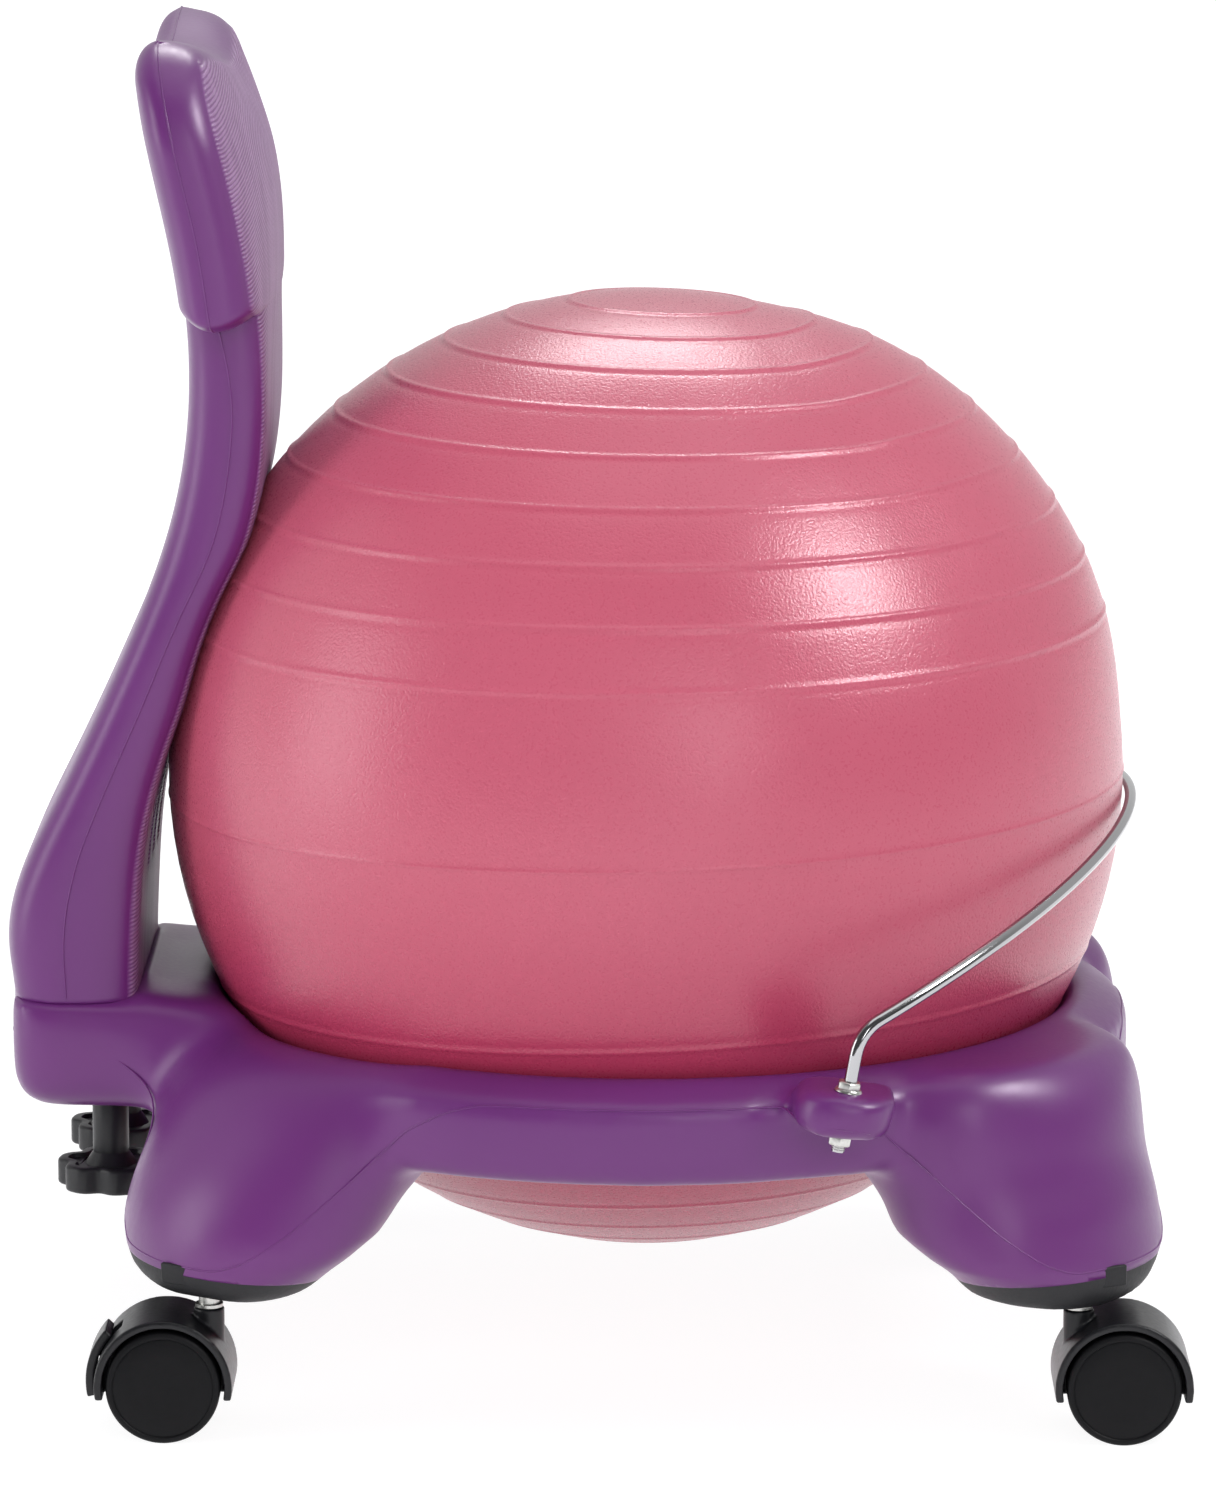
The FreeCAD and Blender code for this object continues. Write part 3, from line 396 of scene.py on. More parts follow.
def relax(points, rounds, closed):
    """Even out the small steps in a line of points."""
    for _ in range(rounds):
        count = len(points)
        ends = range(count) if closed else range(1, count - 1)
        moved = {i: (points[i - 1] + 2 * points[i] + points[(i + 1) % count]) / 4 for i in ends}
        points = [moved.get(i, points[i]) for i in range(count)]
    return points


def wire(name, points, radius, material, closed=False, capped=False):
    """A fine round wire along points."""
    curve = bpy.data.curves.new(name, "CURVE")
    curve.dimensions = "3D"
    curve.bevel_depth = radius
    curve.bevel_resolution = 1
    curve.use_fill_caps = capped
    spline = curve.splines.new("POLY")
    spline.points.add(len(points) - 1)
    for point, place in zip(spline.points, points):
        point.co = (*place, 1)
    spline.use_cyclic_u = closed
    linked(name, curve)
    bpy.ops.object.convert(target="MESH")
    bpy.ops.object.shade_smooth()
    bpy.context.object.data.materials.append(material)
    return bpy.context.object


def mould_line(name, points, closed, plastic, body):
    """A fine raised bead along points on a moulding."""
    bead = wire(name, points, LINE_RADIUS, plastic, closed)
    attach(bead, body)


LUG_STEP = 0.004
BEAD_STEP = 0.002


def round_the_lugs(points):
    """Lead a line in and out along a lug's side, where its reach from the axis steps."""
    axis = Vector((CENTRE_X, 0, 0))
    led = []
    for here, after in zip(points, points[1:] + points[:1]):
        led.append(here)
        near, far = sorted(((here - axis).xy.length, (after - axis).xy.length))
        if far - near < LUG_STEP:
            continue
        outer = max(here, after, key=lambda spot: (spot - axis).xy.length)
        corner = axis + (outer - axis) * near / far
        corner.z = outer.z
        for start, end in ((here, corner), (corner, after)):
            count = max(1, round((end - start).length / BEAD_STEP))
            led += [start.lerp(end, part / count) for part in range(1, count + 1)]
        led.pop()
    return led


def met(piece, start, way):
    """Where a ray from a place first meets a piece."""
    return piece.ray_cast(Vector(start), Vector(way))[1]


around = []
for step in range(LINE_STEPS):
    turn = step * 360 / LINE_STEPS
    outward = Vector((math.cos(math.radians(turn)), math.sin(math.radians(turn)), 0))
    height = line_height(abs((turn + 180) % 360 - 180))
    start = Vector((CENTRE_X, 0, height)) + outward * LINE_START
    spot = met(moulding, start, -outward)
    if (spot - start).length < LINE_DEPTH:
        around.append(spot)
around = relax(round_the_lugs(around), 5, True)
mould_line("frame_mould_line", around, True, FRAME_PLASTIC, "frame")

# Ball. An inflated ball of soft pink vinyl with fine moulded ribs, a thin seam at its
# middle and a push-in plug underneath. It leans a little forward in its ring and bulges
# at the upper front, as a ball does that has been sat on.

BALL_RADIUS = 0.190
RIB_LATITUDES = [19.2 + 7.46 * index for index in range(9)]
RIB_HEIGHT = 0.00055
RIB_WIDTH = 0.0011
LOWER_SHIFT = -4.5
LOWER_SHARE = 0.6
CREASE_SHARE = 0.25
SEAM_LATITUDE = -1
SEAM_HEIGHT = 0.00045
SEAM_WIDTH = 0.0006
BULGE = 0.005
BULGE_START = 0.80
LEAN_MIDDLE = -1.5
LEAN_RISE = 0.044
LEAN_LOWEST = -45
BULGE_WAY = Vector((math.cos(math.radians(42)), 0, math.sin(math.radians(42))))
TURN_STEPS = 224
RIBS = [(rib, 1) for rib in RIB_LATITUDES] + [(LOWER_SHIFT - rib, -1) for rib in RIB_LATITUDES]


def rib_raise(latitude):
    """How far the vinyl stands up at a latitude: ribs with a crease below, and the seam."""
    height = 0
    for centre, way in RIBS:
        off = math.radians(latitude - centre) * BALL_RADIUS * way
        ridge = RIB_HEIGHT if way > 0 else RIB_HEIGHT * LOWER_SHARE
        height += ridge * math.exp(-((off / RIB_WIDTH) ** 2))
        crease = (off + 2.4 * RIB_WIDTH) / RIB_WIDTH
        height -= CREASE_SHARE * ridge * math.exp(-(crease ** 2))
    seam = math.radians(latitude - SEAM_LATITUDE) * BALL_RADIUS
    return height + SEAM_HEIGHT * math.exp(-((seam / SEAM_WIDTH) ** 2))


latitudes = {-90.0 + 3 * index for index in range(61)} | {-1.4, -1.2, -1.0, -0.8, -0.6}
for centre, way in RIBS:
    latitudes |= {centre + way * off for off in
                  (-1.7, -1.3, -0.95, -0.7, -0.45, -0.22, 0, 0.22, 0.45, 0.7, 1.1)}
latitudes = sorted(latitude for latitude in latitudes if -90 <= latitude <= 90)

profile = bpy.data.meshes.new("ball_skin")
meridian = []
for latitude in latitudes:
    reach = BALL_RADIUS + rib_raise(latitude)
    slope = math.radians(latitude)
    meridian.append((reach * math.cos(slope), 0, reach * math.sin(slope)))
meridian[0] = (0, 0, meridian[0][2])
meridian[-1] = (0, 0, meridian[-1][2])
profile.from_pydata(meridian, [(i, i + 1) for i in range(len(meridian) - 1)], [])
ball = linked("ball_skin", profile)
bpy.ops.object.mode_set(mode="EDIT")
bpy.ops.mesh.select_all(action="SELECT")
bpy.ops.mesh.spin(steps=TURN_STEPS, angle=2 * math.pi, center=(0, 0, 0), axis=(0, 0, 1))
bpy.ops.mesh.select_all(action="SELECT")
bpy.ops.mesh.remove_doubles(threshold=MERGE_GAP)
bpy.ops.mesh.normals_make_consistent(inside=False)
bpy.ops.object.mode_set(mode="OBJECT")

for vertex in ball.data.vertices:
    spot = vertex.co.copy()
    latitude = math.degrees(math.asin(max(-1, min(1, spot.z / spot.length))))
    lean = math.radians(LEAN_MIDDLE + LEAN_RISE * max(LEAN_LOWEST, latitude))
    lean *= min(1, max(0, (latitude + 75) / 40))
    turned = Matrix.Rotation(lean, 3, "Y") @ spot
    facing = turned.normalized().dot(BULGE_WAY)
    swell = ease((facing - BULGE_START) / (1 - BULGE_START))
    vertex.co = turned * (1 + BULGE * swell / BALL_RADIUS) + Vector((CENTRE_X, 0, CENTRE_Z))
take_up(ball)
bpy.ops.object.shade_smooth()

BALL_PINK = (0.63, 0.119, 0.19)
BALL_ROSE = (0.59, 0.1, 0.165)
# Low on the ball the pink deepens to crimson. This is painted shade and painted bounce light near
# the base, where the ball sits in the ring.
BALL_SHADE_CRIMSON = (0.52, 0.046, 0.115)
SHADE_TOP = 0.235
SHADE_FULL = 0.135


def mixed(nodes, links, factor, low, high):
    """Mix two colours by a factor, each of them a socket or plain numbers."""
    mix = nodes.new("ShaderNodeMix")
    mix.data_type = "RGBA"
    links.new(factor, mix.inputs["Factor"])
    for socket, colour in ((mix.inputs["A"], low), (mix.inputs["B"], high)):
        if isinstance(colour, tuple):
            socket.default_value = (*colour, 1)
        else:
            links.new(colour, socket)
    return mix.outputs["Result"]


vinyl, nodes, links, shader = new_material("pink_ball_vinyl", BALL_PINK, 0.4)
cloud = speckle(nodes, links, 7)
pink = blend_colours(nodes, links, cloud, BALL_ROSE, BALL_PINK)
place = nodes.new("ShaderNodeTexCoord")
split = nodes.new("ShaderNodeSeparateXYZ")
links.new(place.outputs["Object"], split.inputs["Vector"])
# Painted shade and bounce light: the colour turns crimson from this height downwards.
shade_share = nodes.new("ShaderNodeMapRange")
shade_share.interpolation_type = "SMOOTHSTEP"
shade_share.inputs["From Min"].default_value = SHADE_TOP
shade_share.inputs["From Max"].default_value = SHADE_FULL
links.new(split.outputs["Z"], shade_share.inputs["Value"])
shaded_pink = mixed(nodes, links, shade_share.outputs["Result"], pink, BALL_SHADE_CRIMSON)
links.new(shaded_pink, shader.inputs["Base Color"])
grain_skin(nodes, links, shader, 950, 2, (0.22, 0.36), 0.00023, 0.8)
ball.data.materials.append(vinyl)
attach(ball, "ball")
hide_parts("ball")

plug_plastic, nodes, links, shader = new_material("pale_plug_plastic", (0.72, 0.70, 0.66), 0.45)
cloud = speckle(nodes, links, 300)
links.new(blend_colours(nodes, links, cloud, (0.66, 0.64, 0.6), (0.74, 0.72, 0.68)),
          shader.inputs["Base Color"])


def dress(node, material):
    """Give a CAD node its finish."""
    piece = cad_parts[node]
    piece.data.materials.clear()
    piece.data.materials.append(material)


dress("ball_plug", plug_plastic)

# Foot caps. A black rubber cap closes the underside of each leg, with a rounded lower edge
# and a tab that laps up over the leg's outer side. The caster's stem passes through it.

CAP_TAB_WIDTH = 0.015
CAP_TAB_LOW = 0.0605
CAP_TAB_TOP = 0.0685
CAP_TAB_ANGLE = 62
CAP_TAB_SUNK = 0.0014
CAP_TAB_PROUD = 0.0008
CAP_TAB_ROUND = 0.0006

rubber, nodes, links, shader = new_material("black_cap_rubber", (0.015, 0.015, 0.017), 0.6)
shader.inputs["Specular IOR Level"].default_value = 0.35
grain_skin(nodes, links, shader, 700, 3, (0.5, 0.68), 0.0002, 0.5)


def shape_box(name, low, high, rounding):
    """A block between two corners with rounded edges."""
    bpy.ops.object.select_all(action="DESELECT")
    middle = [(a + b) / 2 for a, b in zip(low, high)]
    bpy.ops.mesh.primitive_cube_add(size=1, location=middle)
    piece = bpy.context.object
    piece.name = name
    piece.scale = [b - a for a, b in zip(low, high)]
    bpy.ops.object.transform_apply(location=True, rotation=True, scale=True)
    shape_with(piece, "BEVEL", width=rounding, segments=3, limit_method="NONE")
    return piece


for corner, along, across in CORNERS:
    cap = linked("foot_boot_" + corner, whole.data.copy())
    part_foot(cap, along, across, True)
    lift_rim(cap, corner, along, across)
    bpy.context.view_layer.update()
    low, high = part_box("foot_cap_" + corner)
    middle = (low + high) / 2
    outward = outward_of(along, across, CAP_TAB_ANGLE)
    facing = Matrix.Rotation(math.atan2(outward.y, outward.x), 4, "Z")
    half = (CAP_TAB_TOP - CAP_TAB_LOW) / 2
    tab = shape_box("tab", (-CAP_TAB_SUNK, -CAP_TAB_WIDTH / 2, -half),
                    (CAP_TAB_PROUD, CAP_TAB_WIDTH / 2, half), CAP_TAB_ROUND)
    ends = []
    for form, height in ((cap, CAP_TAB_LOW), (moulding, CAP_TAB_TOP)):
        start = Vector((middle.x, middle.y, height)) + outward * 0.1
        ends.append(met(form, start, -outward))
    slope = Matrix.Rotation(math.atan2((ends[1] - ends[0]).dot(outward), 2 * half), 4, "Y")
    tab.data.transform(Matrix.Translation((ends[0] + ends[1]) / 2) @ facing @ slope)
    join_to(cap, [tab])
    take_up(cap)
    bpy.ops.object.shade_smooth_by_angle(angle=math.radians(50))
    cap.data.materials.clear()
    cap.data.materials.append(rubber)
    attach(cap, "frame")
    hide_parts("foot_cap_" + corner)
bpy.data.objects.remove(whole)

# Casters. Twin-wheel casters: a black nylon hood turns on a plated steel stem that is pushed
# up into the leg and held by a split spring ring, and two wheels turn on a steel axle.

nylon, nodes, links, shader = new_material("black_hood_nylon", (0.009, 0.009, 0.011), 0.34)
shader.inputs["Specular IOR Level"].default_value = 0.3
grain_skin(nodes, links, shader, 500, 3, (0.28, 0.42), 0.00012, 0.4)

wheel_plastic, nodes, links, shader = new_material("black_wheel_plastic", (0.006, 0.006, 0.007), 0.5)
shader.inputs["Specular IOR Level"].default_value = 0.14
scuff = speckle(nodes, links, 260, 8)
links.new(spread(nodes, links, scuff, 0.4, 0.6), shader.inputs["Roughness"])
links.new(raise_by(nodes, links, speckle(nodes, links, 900, 2), 0.0001, 0.4),
          shader.inputs["Normal"])

zinc, nodes, links, shader = new_material("zinc_plated_steel", (0.5, 0.5, 0.48), 0.32)
shader.inputs["Metallic"].default_value = 1
scuff = speckle(nodes, links, 500, 5)
links.new(spread(nodes, links, scuff, 0.24, 0.42), shader.inputs["Roughness"])
links.new(blend_colours(nodes, links, scuff, (0.42, 0.42, 0.4), (0.56, 0.56, 0.54)),
          shader.inputs["Base Color"])


def bar(name, sides, radius, low, high):
    """An upright bar round the Z axis between two heights, round or with a few flat sides."""
    bpy.ops.object.select_all(action="DESELECT")
    bpy.ops.mesh.primitive_cylinder_add(vertices=sides, radius=radius, depth=high - low,
                                        location=(0, 0, low + (high - low) / 2))
    bpy.ops.object.transform_apply(location=True, rotation=True, scale=True)
    bpy.context.object.name = name
    return bpy.context.object


def inset_in_turn(piece, wanted, steps):
    """Step the faces that pass a test inwards again and again, each time by (width, rise)."""
    take_up(piece)
    bpy.ops.object.mode_set(mode="EDIT")
    pick_faces(piece, wanted)
    for width, rise in steps:
        bpy.ops.mesh.inset(thickness=width, depth=rise)
    bpy.ops.object.mode_set(mode="OBJECT")


HOOD_GRAIN = 0.0006
LEVER_GRAIN = 0.0005
TREAD_ROUND = 0.0018
RIM_STEPS = [(0.0022, 0), (0.0006, -0.0005), (0.0006, 0.0003), (0.007, 0.0004)]
NEARLY = 0.0001


def wheel_disc(name, node, facing):
    """A wheel turned from a disc: rounded tread, shallow dished face and a fine rim line."""
    low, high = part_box(node)
    middle = (low + high) / 2
    half = (high.y - low.y) / 2
    radius = (high.z - low.z) / 2
    wheel = bar(name, 96, radius, -half, half)
    inset_in_turn(wheel, lambda face: face.normal.z > 0.9, RIM_STEPS)
    bpy.ops.object.mode_set(mode="EDIT")
    bpy.ops.mesh.select_all(action="DESELECT")
    mesh = bmesh.from_edit_mesh(wheel.data)
    for edge in mesh.edges:
        ends = [vertex.co for vertex in edge.verts]
        outside = all(abs(end.xy.length - radius) < NEARLY for end in ends)
        edge.select = outside and abs(ends[0].z - ends[1].z) < NEARLY
    bmesh.update_edit_mesh(wheel.data)
    bpy.ops.mesh.bevel(offset=TREAD_ROUND, segments=4, affect="EDGES")
    bpy.ops.object.mode_set(mode="OBJECT")
    wheel.data.transform(Matrix.Translation(middle) @ Matrix.Rotation(
        math.radians(-90 * facing), 4, "X"))
    wheel.data.update()
    take_up(wheel)
    bpy.ops.object.shade_smooth_by_angle(angle=math.radians(35))
    wheel.data.materials.append(wheel_plastic)
    return wheel


for corner, along, across in CORNERS:
    hood = moulded(outer_skin("caster_hood_" + corner, "hood_" + corner), HOOD_GRAIN, 5)
    hood.data.materials.append(nylon)
    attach(hood, "swivel_" + corner)
    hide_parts("caster_hood_" + corner)
    for side, facing in (("near", -1), ("far", 1)):
        node = "wheel_%s_%s" % (corner, side)
        disc = wheel_disc("disc_%s_%s" % (corner, side), node, facing)
        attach(disc, node)
        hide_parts(node)
    for node in ("caster_stem_", "grip_ring_", "caster_axle_"):
        dress(node + corner, zinc)
    if along < 0:
        lever = moulded(outer_skin("brake_lever_" + corner, "lever_" + corner), LEVER_GRAIN, 4)
        lever.data.materials.append(nylon)
        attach(lever, "brake_lever_" + corner)
        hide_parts("brake_lever_" + corner)
        dress("lever_pin_" + corner, zinc)

# Retaining rod. One bent length of chromed steel bar round the ball's front. Each end goes
# down through a lug on the ring and is held by a flanged nut above and a plain nut below.

chrome, nodes, links, shader = new_material("chromed_steel", (0.36, 0.36, 0.37), 0.12)
shader.inputs["Metallic"].default_value = 1
haze = speckle(nodes, links, 120, 6)
links.new(spread(nodes, links, haze, 0.08, 0.15), shader.inputs["Roughness"])
dress("retaining_rod", chrome)

ROD_LEAN = math.radians(10)
NUT_CORNER = 0.008 / math.sqrt(3)
NUT_HEIGHT = 0.004
NUT_WEAR = 0.0005
NUT_EDGE = 0.00018
FLANGE_FOOT = 0.0054
FLANGE_TOP = 0.0047
FLANGE_HEIGHT = 0.0012
THREAD_PITCH = 0.0008
THREAD_STEPS = 24
THREAD_RADIUS = 0.00245
THREAD_RIDGE = 0.00028
THREAD_LENGTH = 0.0062
THREAD_START = 0.0018


def cone(sides, low_radius, high_radius, low, high):
    """An upright cone's stump round the Z axis between two heights."""
    bpy.ops.object.select_all(action="DESELECT")
    bpy.ops.mesh.primitive_cone_add(vertices=sides, radius1=low_radius, radius2=high_radius,
                                    depth=high - low, location=(0, 0, (low + high) / 2))
    bpy.ops.object.transform_apply(location=True, rotation=True, scale=True)
    return bpy.context.object


def hex_nut(name, flanged):
    """A hexagon nut with worn corners, standing on z = 0, with a washer face if flanged."""
    nut = bar(name, 6, NUT_CORNER, 0, NUT_HEIGHT)
    inset_in_turn(nut, lambda face: abs(face.normal.z) > 0.9, [(0.0006, 0), (0.0008, 0)])
    for vertex in nut.data.vertices:
        if vertex.co.xy.length > NUT_CORNER - NEARLY:
            vertex.co.z += NUT_WEAR if vertex.co.z < NUT_HEIGHT / 2 else -NUT_WEAR
    if flanged:
        join_to(nut, [cone(48, FLANGE_FOOT, FLANGE_TOP, 0, FLANGE_HEIGHT)])
    shape_with(nut, "BEVEL", width=NUT_EDGE, segments=2, limit_method="ANGLE",
               angle_limit=math.radians(25))
    take_up(nut)
    bpy.ops.object.shade_smooth_by_angle(angle=math.radians(30))
    nut.data.materials.append(zinc)
    return nut


def thread(name, length):
    """A rolled thread round the rod's end, drawn down from z = 0."""
    points = []
    for step in range(int(length / THREAD_PITCH) * THREAD_STEPS + 1):
        angle = step / THREAD_STEPS * 2 * math.pi
        points.append((THREAD_RADIUS * math.cos(angle), THREAD_RADIUS * math.sin(angle),
                       -THREAD_PITCH * step / THREAD_STEPS))
    return wire(name, points, THREAD_RIDGE, zinc, capped=True)


for side in ("near", "far"):
    for level, flanged in (("upper", True), ("lower", False)):
        node = "rod_nut_%s_%s" % (level, side)
        low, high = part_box(node)
        nut = hex_nut("nut_%s_%s" % (level, side), flanged)
        nut.data.transform(Matrix.Translation((low + high) / 2) @ Matrix.Rotation(ROD_LEAN, 4, "Y")
                           @ Matrix.Translation((0, 0, -NUT_HEIGHT / 2)))
        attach(nut, "frame")
        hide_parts(node)
    ridge = thread("rod_thread_" + side, THREAD_LENGTH)
    ridge.data.transform(Matrix.Translation((low + high) / 2) @ Matrix.Rotation(ROD_LEAN, 4, "Y")
                         @ Matrix.Translation((0, 0, THREAD_START)))
    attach(ridge, "frame")

# Backrest. A second blow-moulded purple piece, S-shaped from the side and wider above its
# shoulders. Its front face carries the mould's fine woven texture, its stem has upright
# grooves, and the mould line runs along both sides and over the top.

PANEL_CROWN = 0.0122
PANEL_LOW = 0.385
STATION = 0.0018
PROFILE_Y = 0.055
FOOT_ROUND = 0.0015
FOOT_DRAWN_IN = 0.0012
TOP_SKIP = 0.001
END_CLEAR = 0.0003
SHOULDER_HEIGHT = 0.4235
SHOULDER_RISE = 0.006
SHOULDER_DROP = 0.0065
SHOULDER_FADE = 0.035
SWELL_PEAK = 0.47
CORD_SLANT = -16
CORD_PITCH = 0.0016
WAVE_PERIOD = math.pi / 10
WEAVE_HEIGHT = 0.0004
WOVEN_DULL = 0.14
CORD_TONE = 0.6
RING_STEPS = 70
TOP_ROUND = 0.016
TOP_DIP = 0.008
DIP_HALF = 0.075
DIP_FADE = 0.05
WOVEN_EDGE = 0.935
WOVEN_FADE = 0.02
WOVEN_RAISED = 0.0006
FRONT_SQUARE = 18
FRONT_POWER = 1 / 2.6
REAR_SQUARE = 10
REAR_POWER = 1 / 2.2
GROOVE_PITCH = 0.028
GROOVE_HALF = 0.006
GROOVE_DEPTH = 0.004
GROOVE_SIDE = 0.0025
GROOVE_END = 0.006
GROOVE_LOW = 0.194
GROOVE_HIGH = 0.332
BALL_CLEAR = 0.1914
# The woven front face is coloured paler than the plain purple, from purple to lilac. This paleness
# is painted sheen of its textured surface, and the weave's cords and streaks give it its pattern.
PURPLE_WOVEN_SHEEN = (0.21, 0.085, 0.23)
LILAC_WOVEN_SHEEN = (0.38, 0.21, 0.41)
RIDGE_SHARE = [(0.15, 0.45), (0.21, 0.45), (0.27, 0.52), (0.32, 0.6), (0.385, 0.6),
               (0.43, 0.46), (0.53, 0.42)]


def reckon(nodes, links, operation, *terms):
    """A sum on terms that are sockets or plain numbers."""
    step = nodes.new("ShaderNodeMath")
    step.operation = operation
    for socket, term in zip(step.inputs, terms):
        if isinstance(term, float):
            socket.default_value = term
        else:
            links.new(term, socket)
    return step.outputs["Value"]


weave = purple_plastic("purple_woven_plastic")
nodes = weave.node_tree.nodes
links = weave.node_tree.links
shader = nodes["Principled BSDF"]
place = nodes.new("ShaderNodeTexCoord")
front = nodes.new("ShaderNodeAttribute")
front.attribute_name = "woven"
cells = nodes.new("ShaderNodeTexVoronoi")
cells.feature = "SMOOTH_F1"
cells.inputs["Scale"].default_value = 620
cells.inputs["Randomness"].default_value = 0.25
links.new(place.outputs["Object"], cells.inputs["Vector"])
turned = nodes.new("ShaderNodeMapping")
turned.inputs["Rotation"].default_value = (math.radians(CORD_SLANT), 0, 0)
links.new(place.outputs["Object"], turned.inputs["Vector"])
cords = nodes.new("ShaderNodeTexWave")
cords.bands_direction = "Z"
cords.inputs["Scale"].default_value = WAVE_PERIOD / CORD_PITCH
cords.inputs["Distortion"].default_value = 1.2
cords.inputs["Detail"].default_value = 1
links.new(turned.outputs["Vector"], cords.inputs["Vector"])
stretched = nodes.new("ShaderNodeMapping")
stretched.inputs["Scale"].default_value = (1, 1, 0.08)
links.new(place.outputs["Object"], stretched.inputs["Vector"])
streaks = nodes.new("ShaderNodeTexNoise")
streaks.inputs["Scale"].default_value = 130
streaks.inputs["Detail"].default_value = 2
links.new(stretched.outputs["Vector"], streaks.inputs["Vector"])
cloth = reckon(nodes, links, "ADD", cells.outputs["Distance"], cords.outputs["Fac"])
pits = reckon(nodes, links, "MULTIPLY", cloth, front.outputs["Fac"])
under = shader.inputs["Normal"].links[0].from_socket
links.new(raise_by(nodes, links, pits, WEAVE_HEIGHT, 0.7, under), shader.inputs["Normal"])
smooth = shader.inputs["Roughness"].links[0].from_socket
rough = reckon(nodes, links, "MULTIPLY_ADD", front.outputs["Fac"], WOVEN_DULL, smooth)
links.new(rough, shader.inputs["Roughness"])
# Painted sheen with the weave's pattern: the front face's colour runs between the two pale shades
# along the cords and streaks, and is mixed in where the face is woven.
tone = reckon(nodes, links, "MULTIPLY_ADD", cords.outputs["Fac"], CORD_TONE,
              streaks.outputs["Fac"])
woven_pattern_and_sheen = blend_colours(nodes, links, spread(nodes, links, tone, -0.54, 0.76),
                             PURPLE_WOVEN_SHEEN, LILAC_WOVEN_SHEEN)
plain = shader.inputs["Base Color"].links[0].from_socket
front_with_sheen = mixed(nodes, links, front.outputs["Fac"], plain, woven_pattern_and_sheen)
links.new(front_with_sheen, shader.inputs["Base Color"])


def evened(values, rounds):
    """Take the corners out of a list of measures, its two ends kept."""
    for _ in range(rounds):
        inner = [(a + 2 * b + c) / 4 for a, b, c in zip(values, values[1:], values[2:])]
        values = [values[0]] + inner + [values[-1]]
    return values


low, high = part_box("backrest")
pattern = outer_skin("backrest", "back_pattern")
first_rise = low.z + FOOT_ROUND
rises = [first_rise + STATION * step
         for step in range(int((high.z - TOP_ROUND - low.z - FOOT_ROUND) / STATION) + 1)]
fronts = evened([met(pattern, (CENTRE_X, PROFILE_Y, rise), (-1, 0, 0)).x for rise in rises], 28)
rears = evened([met(pattern, (-0.5, PROFILE_Y, rise), (1, 0, 0)).x for rise in rises], 28)
crest = [high.z - TOP_SKIP - (TOP_ROUND - TOP_SKIP) * (1 - step / 12) for step in range(1, 13)]
levels = rises + crest
middle_top = (fronts[-1] + rears[-1]) / 2
middles = [(a + b) / 2 for a, b in zip(fronts, rears)] + [middle_top] * len(crest)
halves = [abs(met(pattern, (middle, -0.4, level), (0, 1, 0)).y)
          for middle, level in zip(middles, levels)]
stem_half = halves[len(rises) // 2]
panel_half = max(halves)
bpy.data.objects.remove(pattern)


def half_at(height):
    """Half the moulding's width at a height: a stem, a steep shoulder and a panel."""
    if height < SWELL_PEAK:
        step = min(1, max(0, (height - SHOULDER_HEIGHT) / SHOULDER_RISE))
        return stem_half + (panel_half - stem_half) * math.sqrt(step * (2 - step))
    for index in range(len(levels) - 1):
        if height <= levels[index + 1]:
            part = (height - levels[index]) / (levels[index + 1] - levels[index])
            return halves[index] + (halves[index + 1] - halves[index]) * max(0, part)
    return halves[-1]


def section(height, ridge, ahead, behind, half, swell, framed=1):
    """One ring round the moulding: a crisp front face, and a rounder side and rear."""
    ring, woven = [], []
    apart = abs(height - SHOULDER_HEIGHT - SHOULDER_RISE / 2)
    sag = SHOULDER_DROP * (1 - ease(apart / SHOULDER_FADE))
    shares = [math.sin(math.pi / 2 * step / RING_STEPS)
              for step in range(-RING_STEPS, RING_STEPS + 1)]
    for share in shares:
        forward = (1 - abs(share) ** FRONT_SQUARE) ** FRONT_POWER
        inside = ease((WOVEN_EDGE - abs(share)) / WOVEN_FADE) * framed
        x = ridge + ahead * forward + inside * WOVEN_RAISED
        x += PANEL_CROWN * (1 - share * share) * swell * forward
        across = half * share
        for slot_at in (-GROOVE_PITCH, 0, GROOVE_PITCH):
            cut = ease((GROOVE_HALF - abs(across - slot_at)) / GROOVE_SIDE)
            cut *= ease((height - GROOVE_LOW) / GROOVE_END)
            cut *= ease((GROOVE_HIGH - height) / GROOVE_END)
            x -= GROOVE_DEPTH * cut
        clear = BALL_CLEAR ** 2 - across ** 2 - (height - CENTRE_Z) ** 2
        if clear > 0 and abs(share) < 1:
            x = min(x, CENTRE_X - math.sqrt(clear))
        ring.append(Vector((x, across, height - sag * (1 - forward ** 2) * share ** 4)))
        woven.append(inside)
    for share in reversed(shares[1:-1]):
        backward = (1 - abs(share) ** REAR_SQUARE) ** REAR_POWER
        ring.append(Vector((ridge - behind * backward, half * share,
                            height - sag * (1 - backward ** 2) * share ** 4)))
        woven.append(0)
    return ring, woven


def swell_at(height):
    """How much of the panel's crown a height has: it fades below, and is round on top."""
    climb = max(0, (height - SWELL_PEAK) / (high.z + 0.002 - SWELL_PEAK))
    return ease((height - PANEL_LOW) / 0.1) * math.sqrt(1 - climb ** 2)


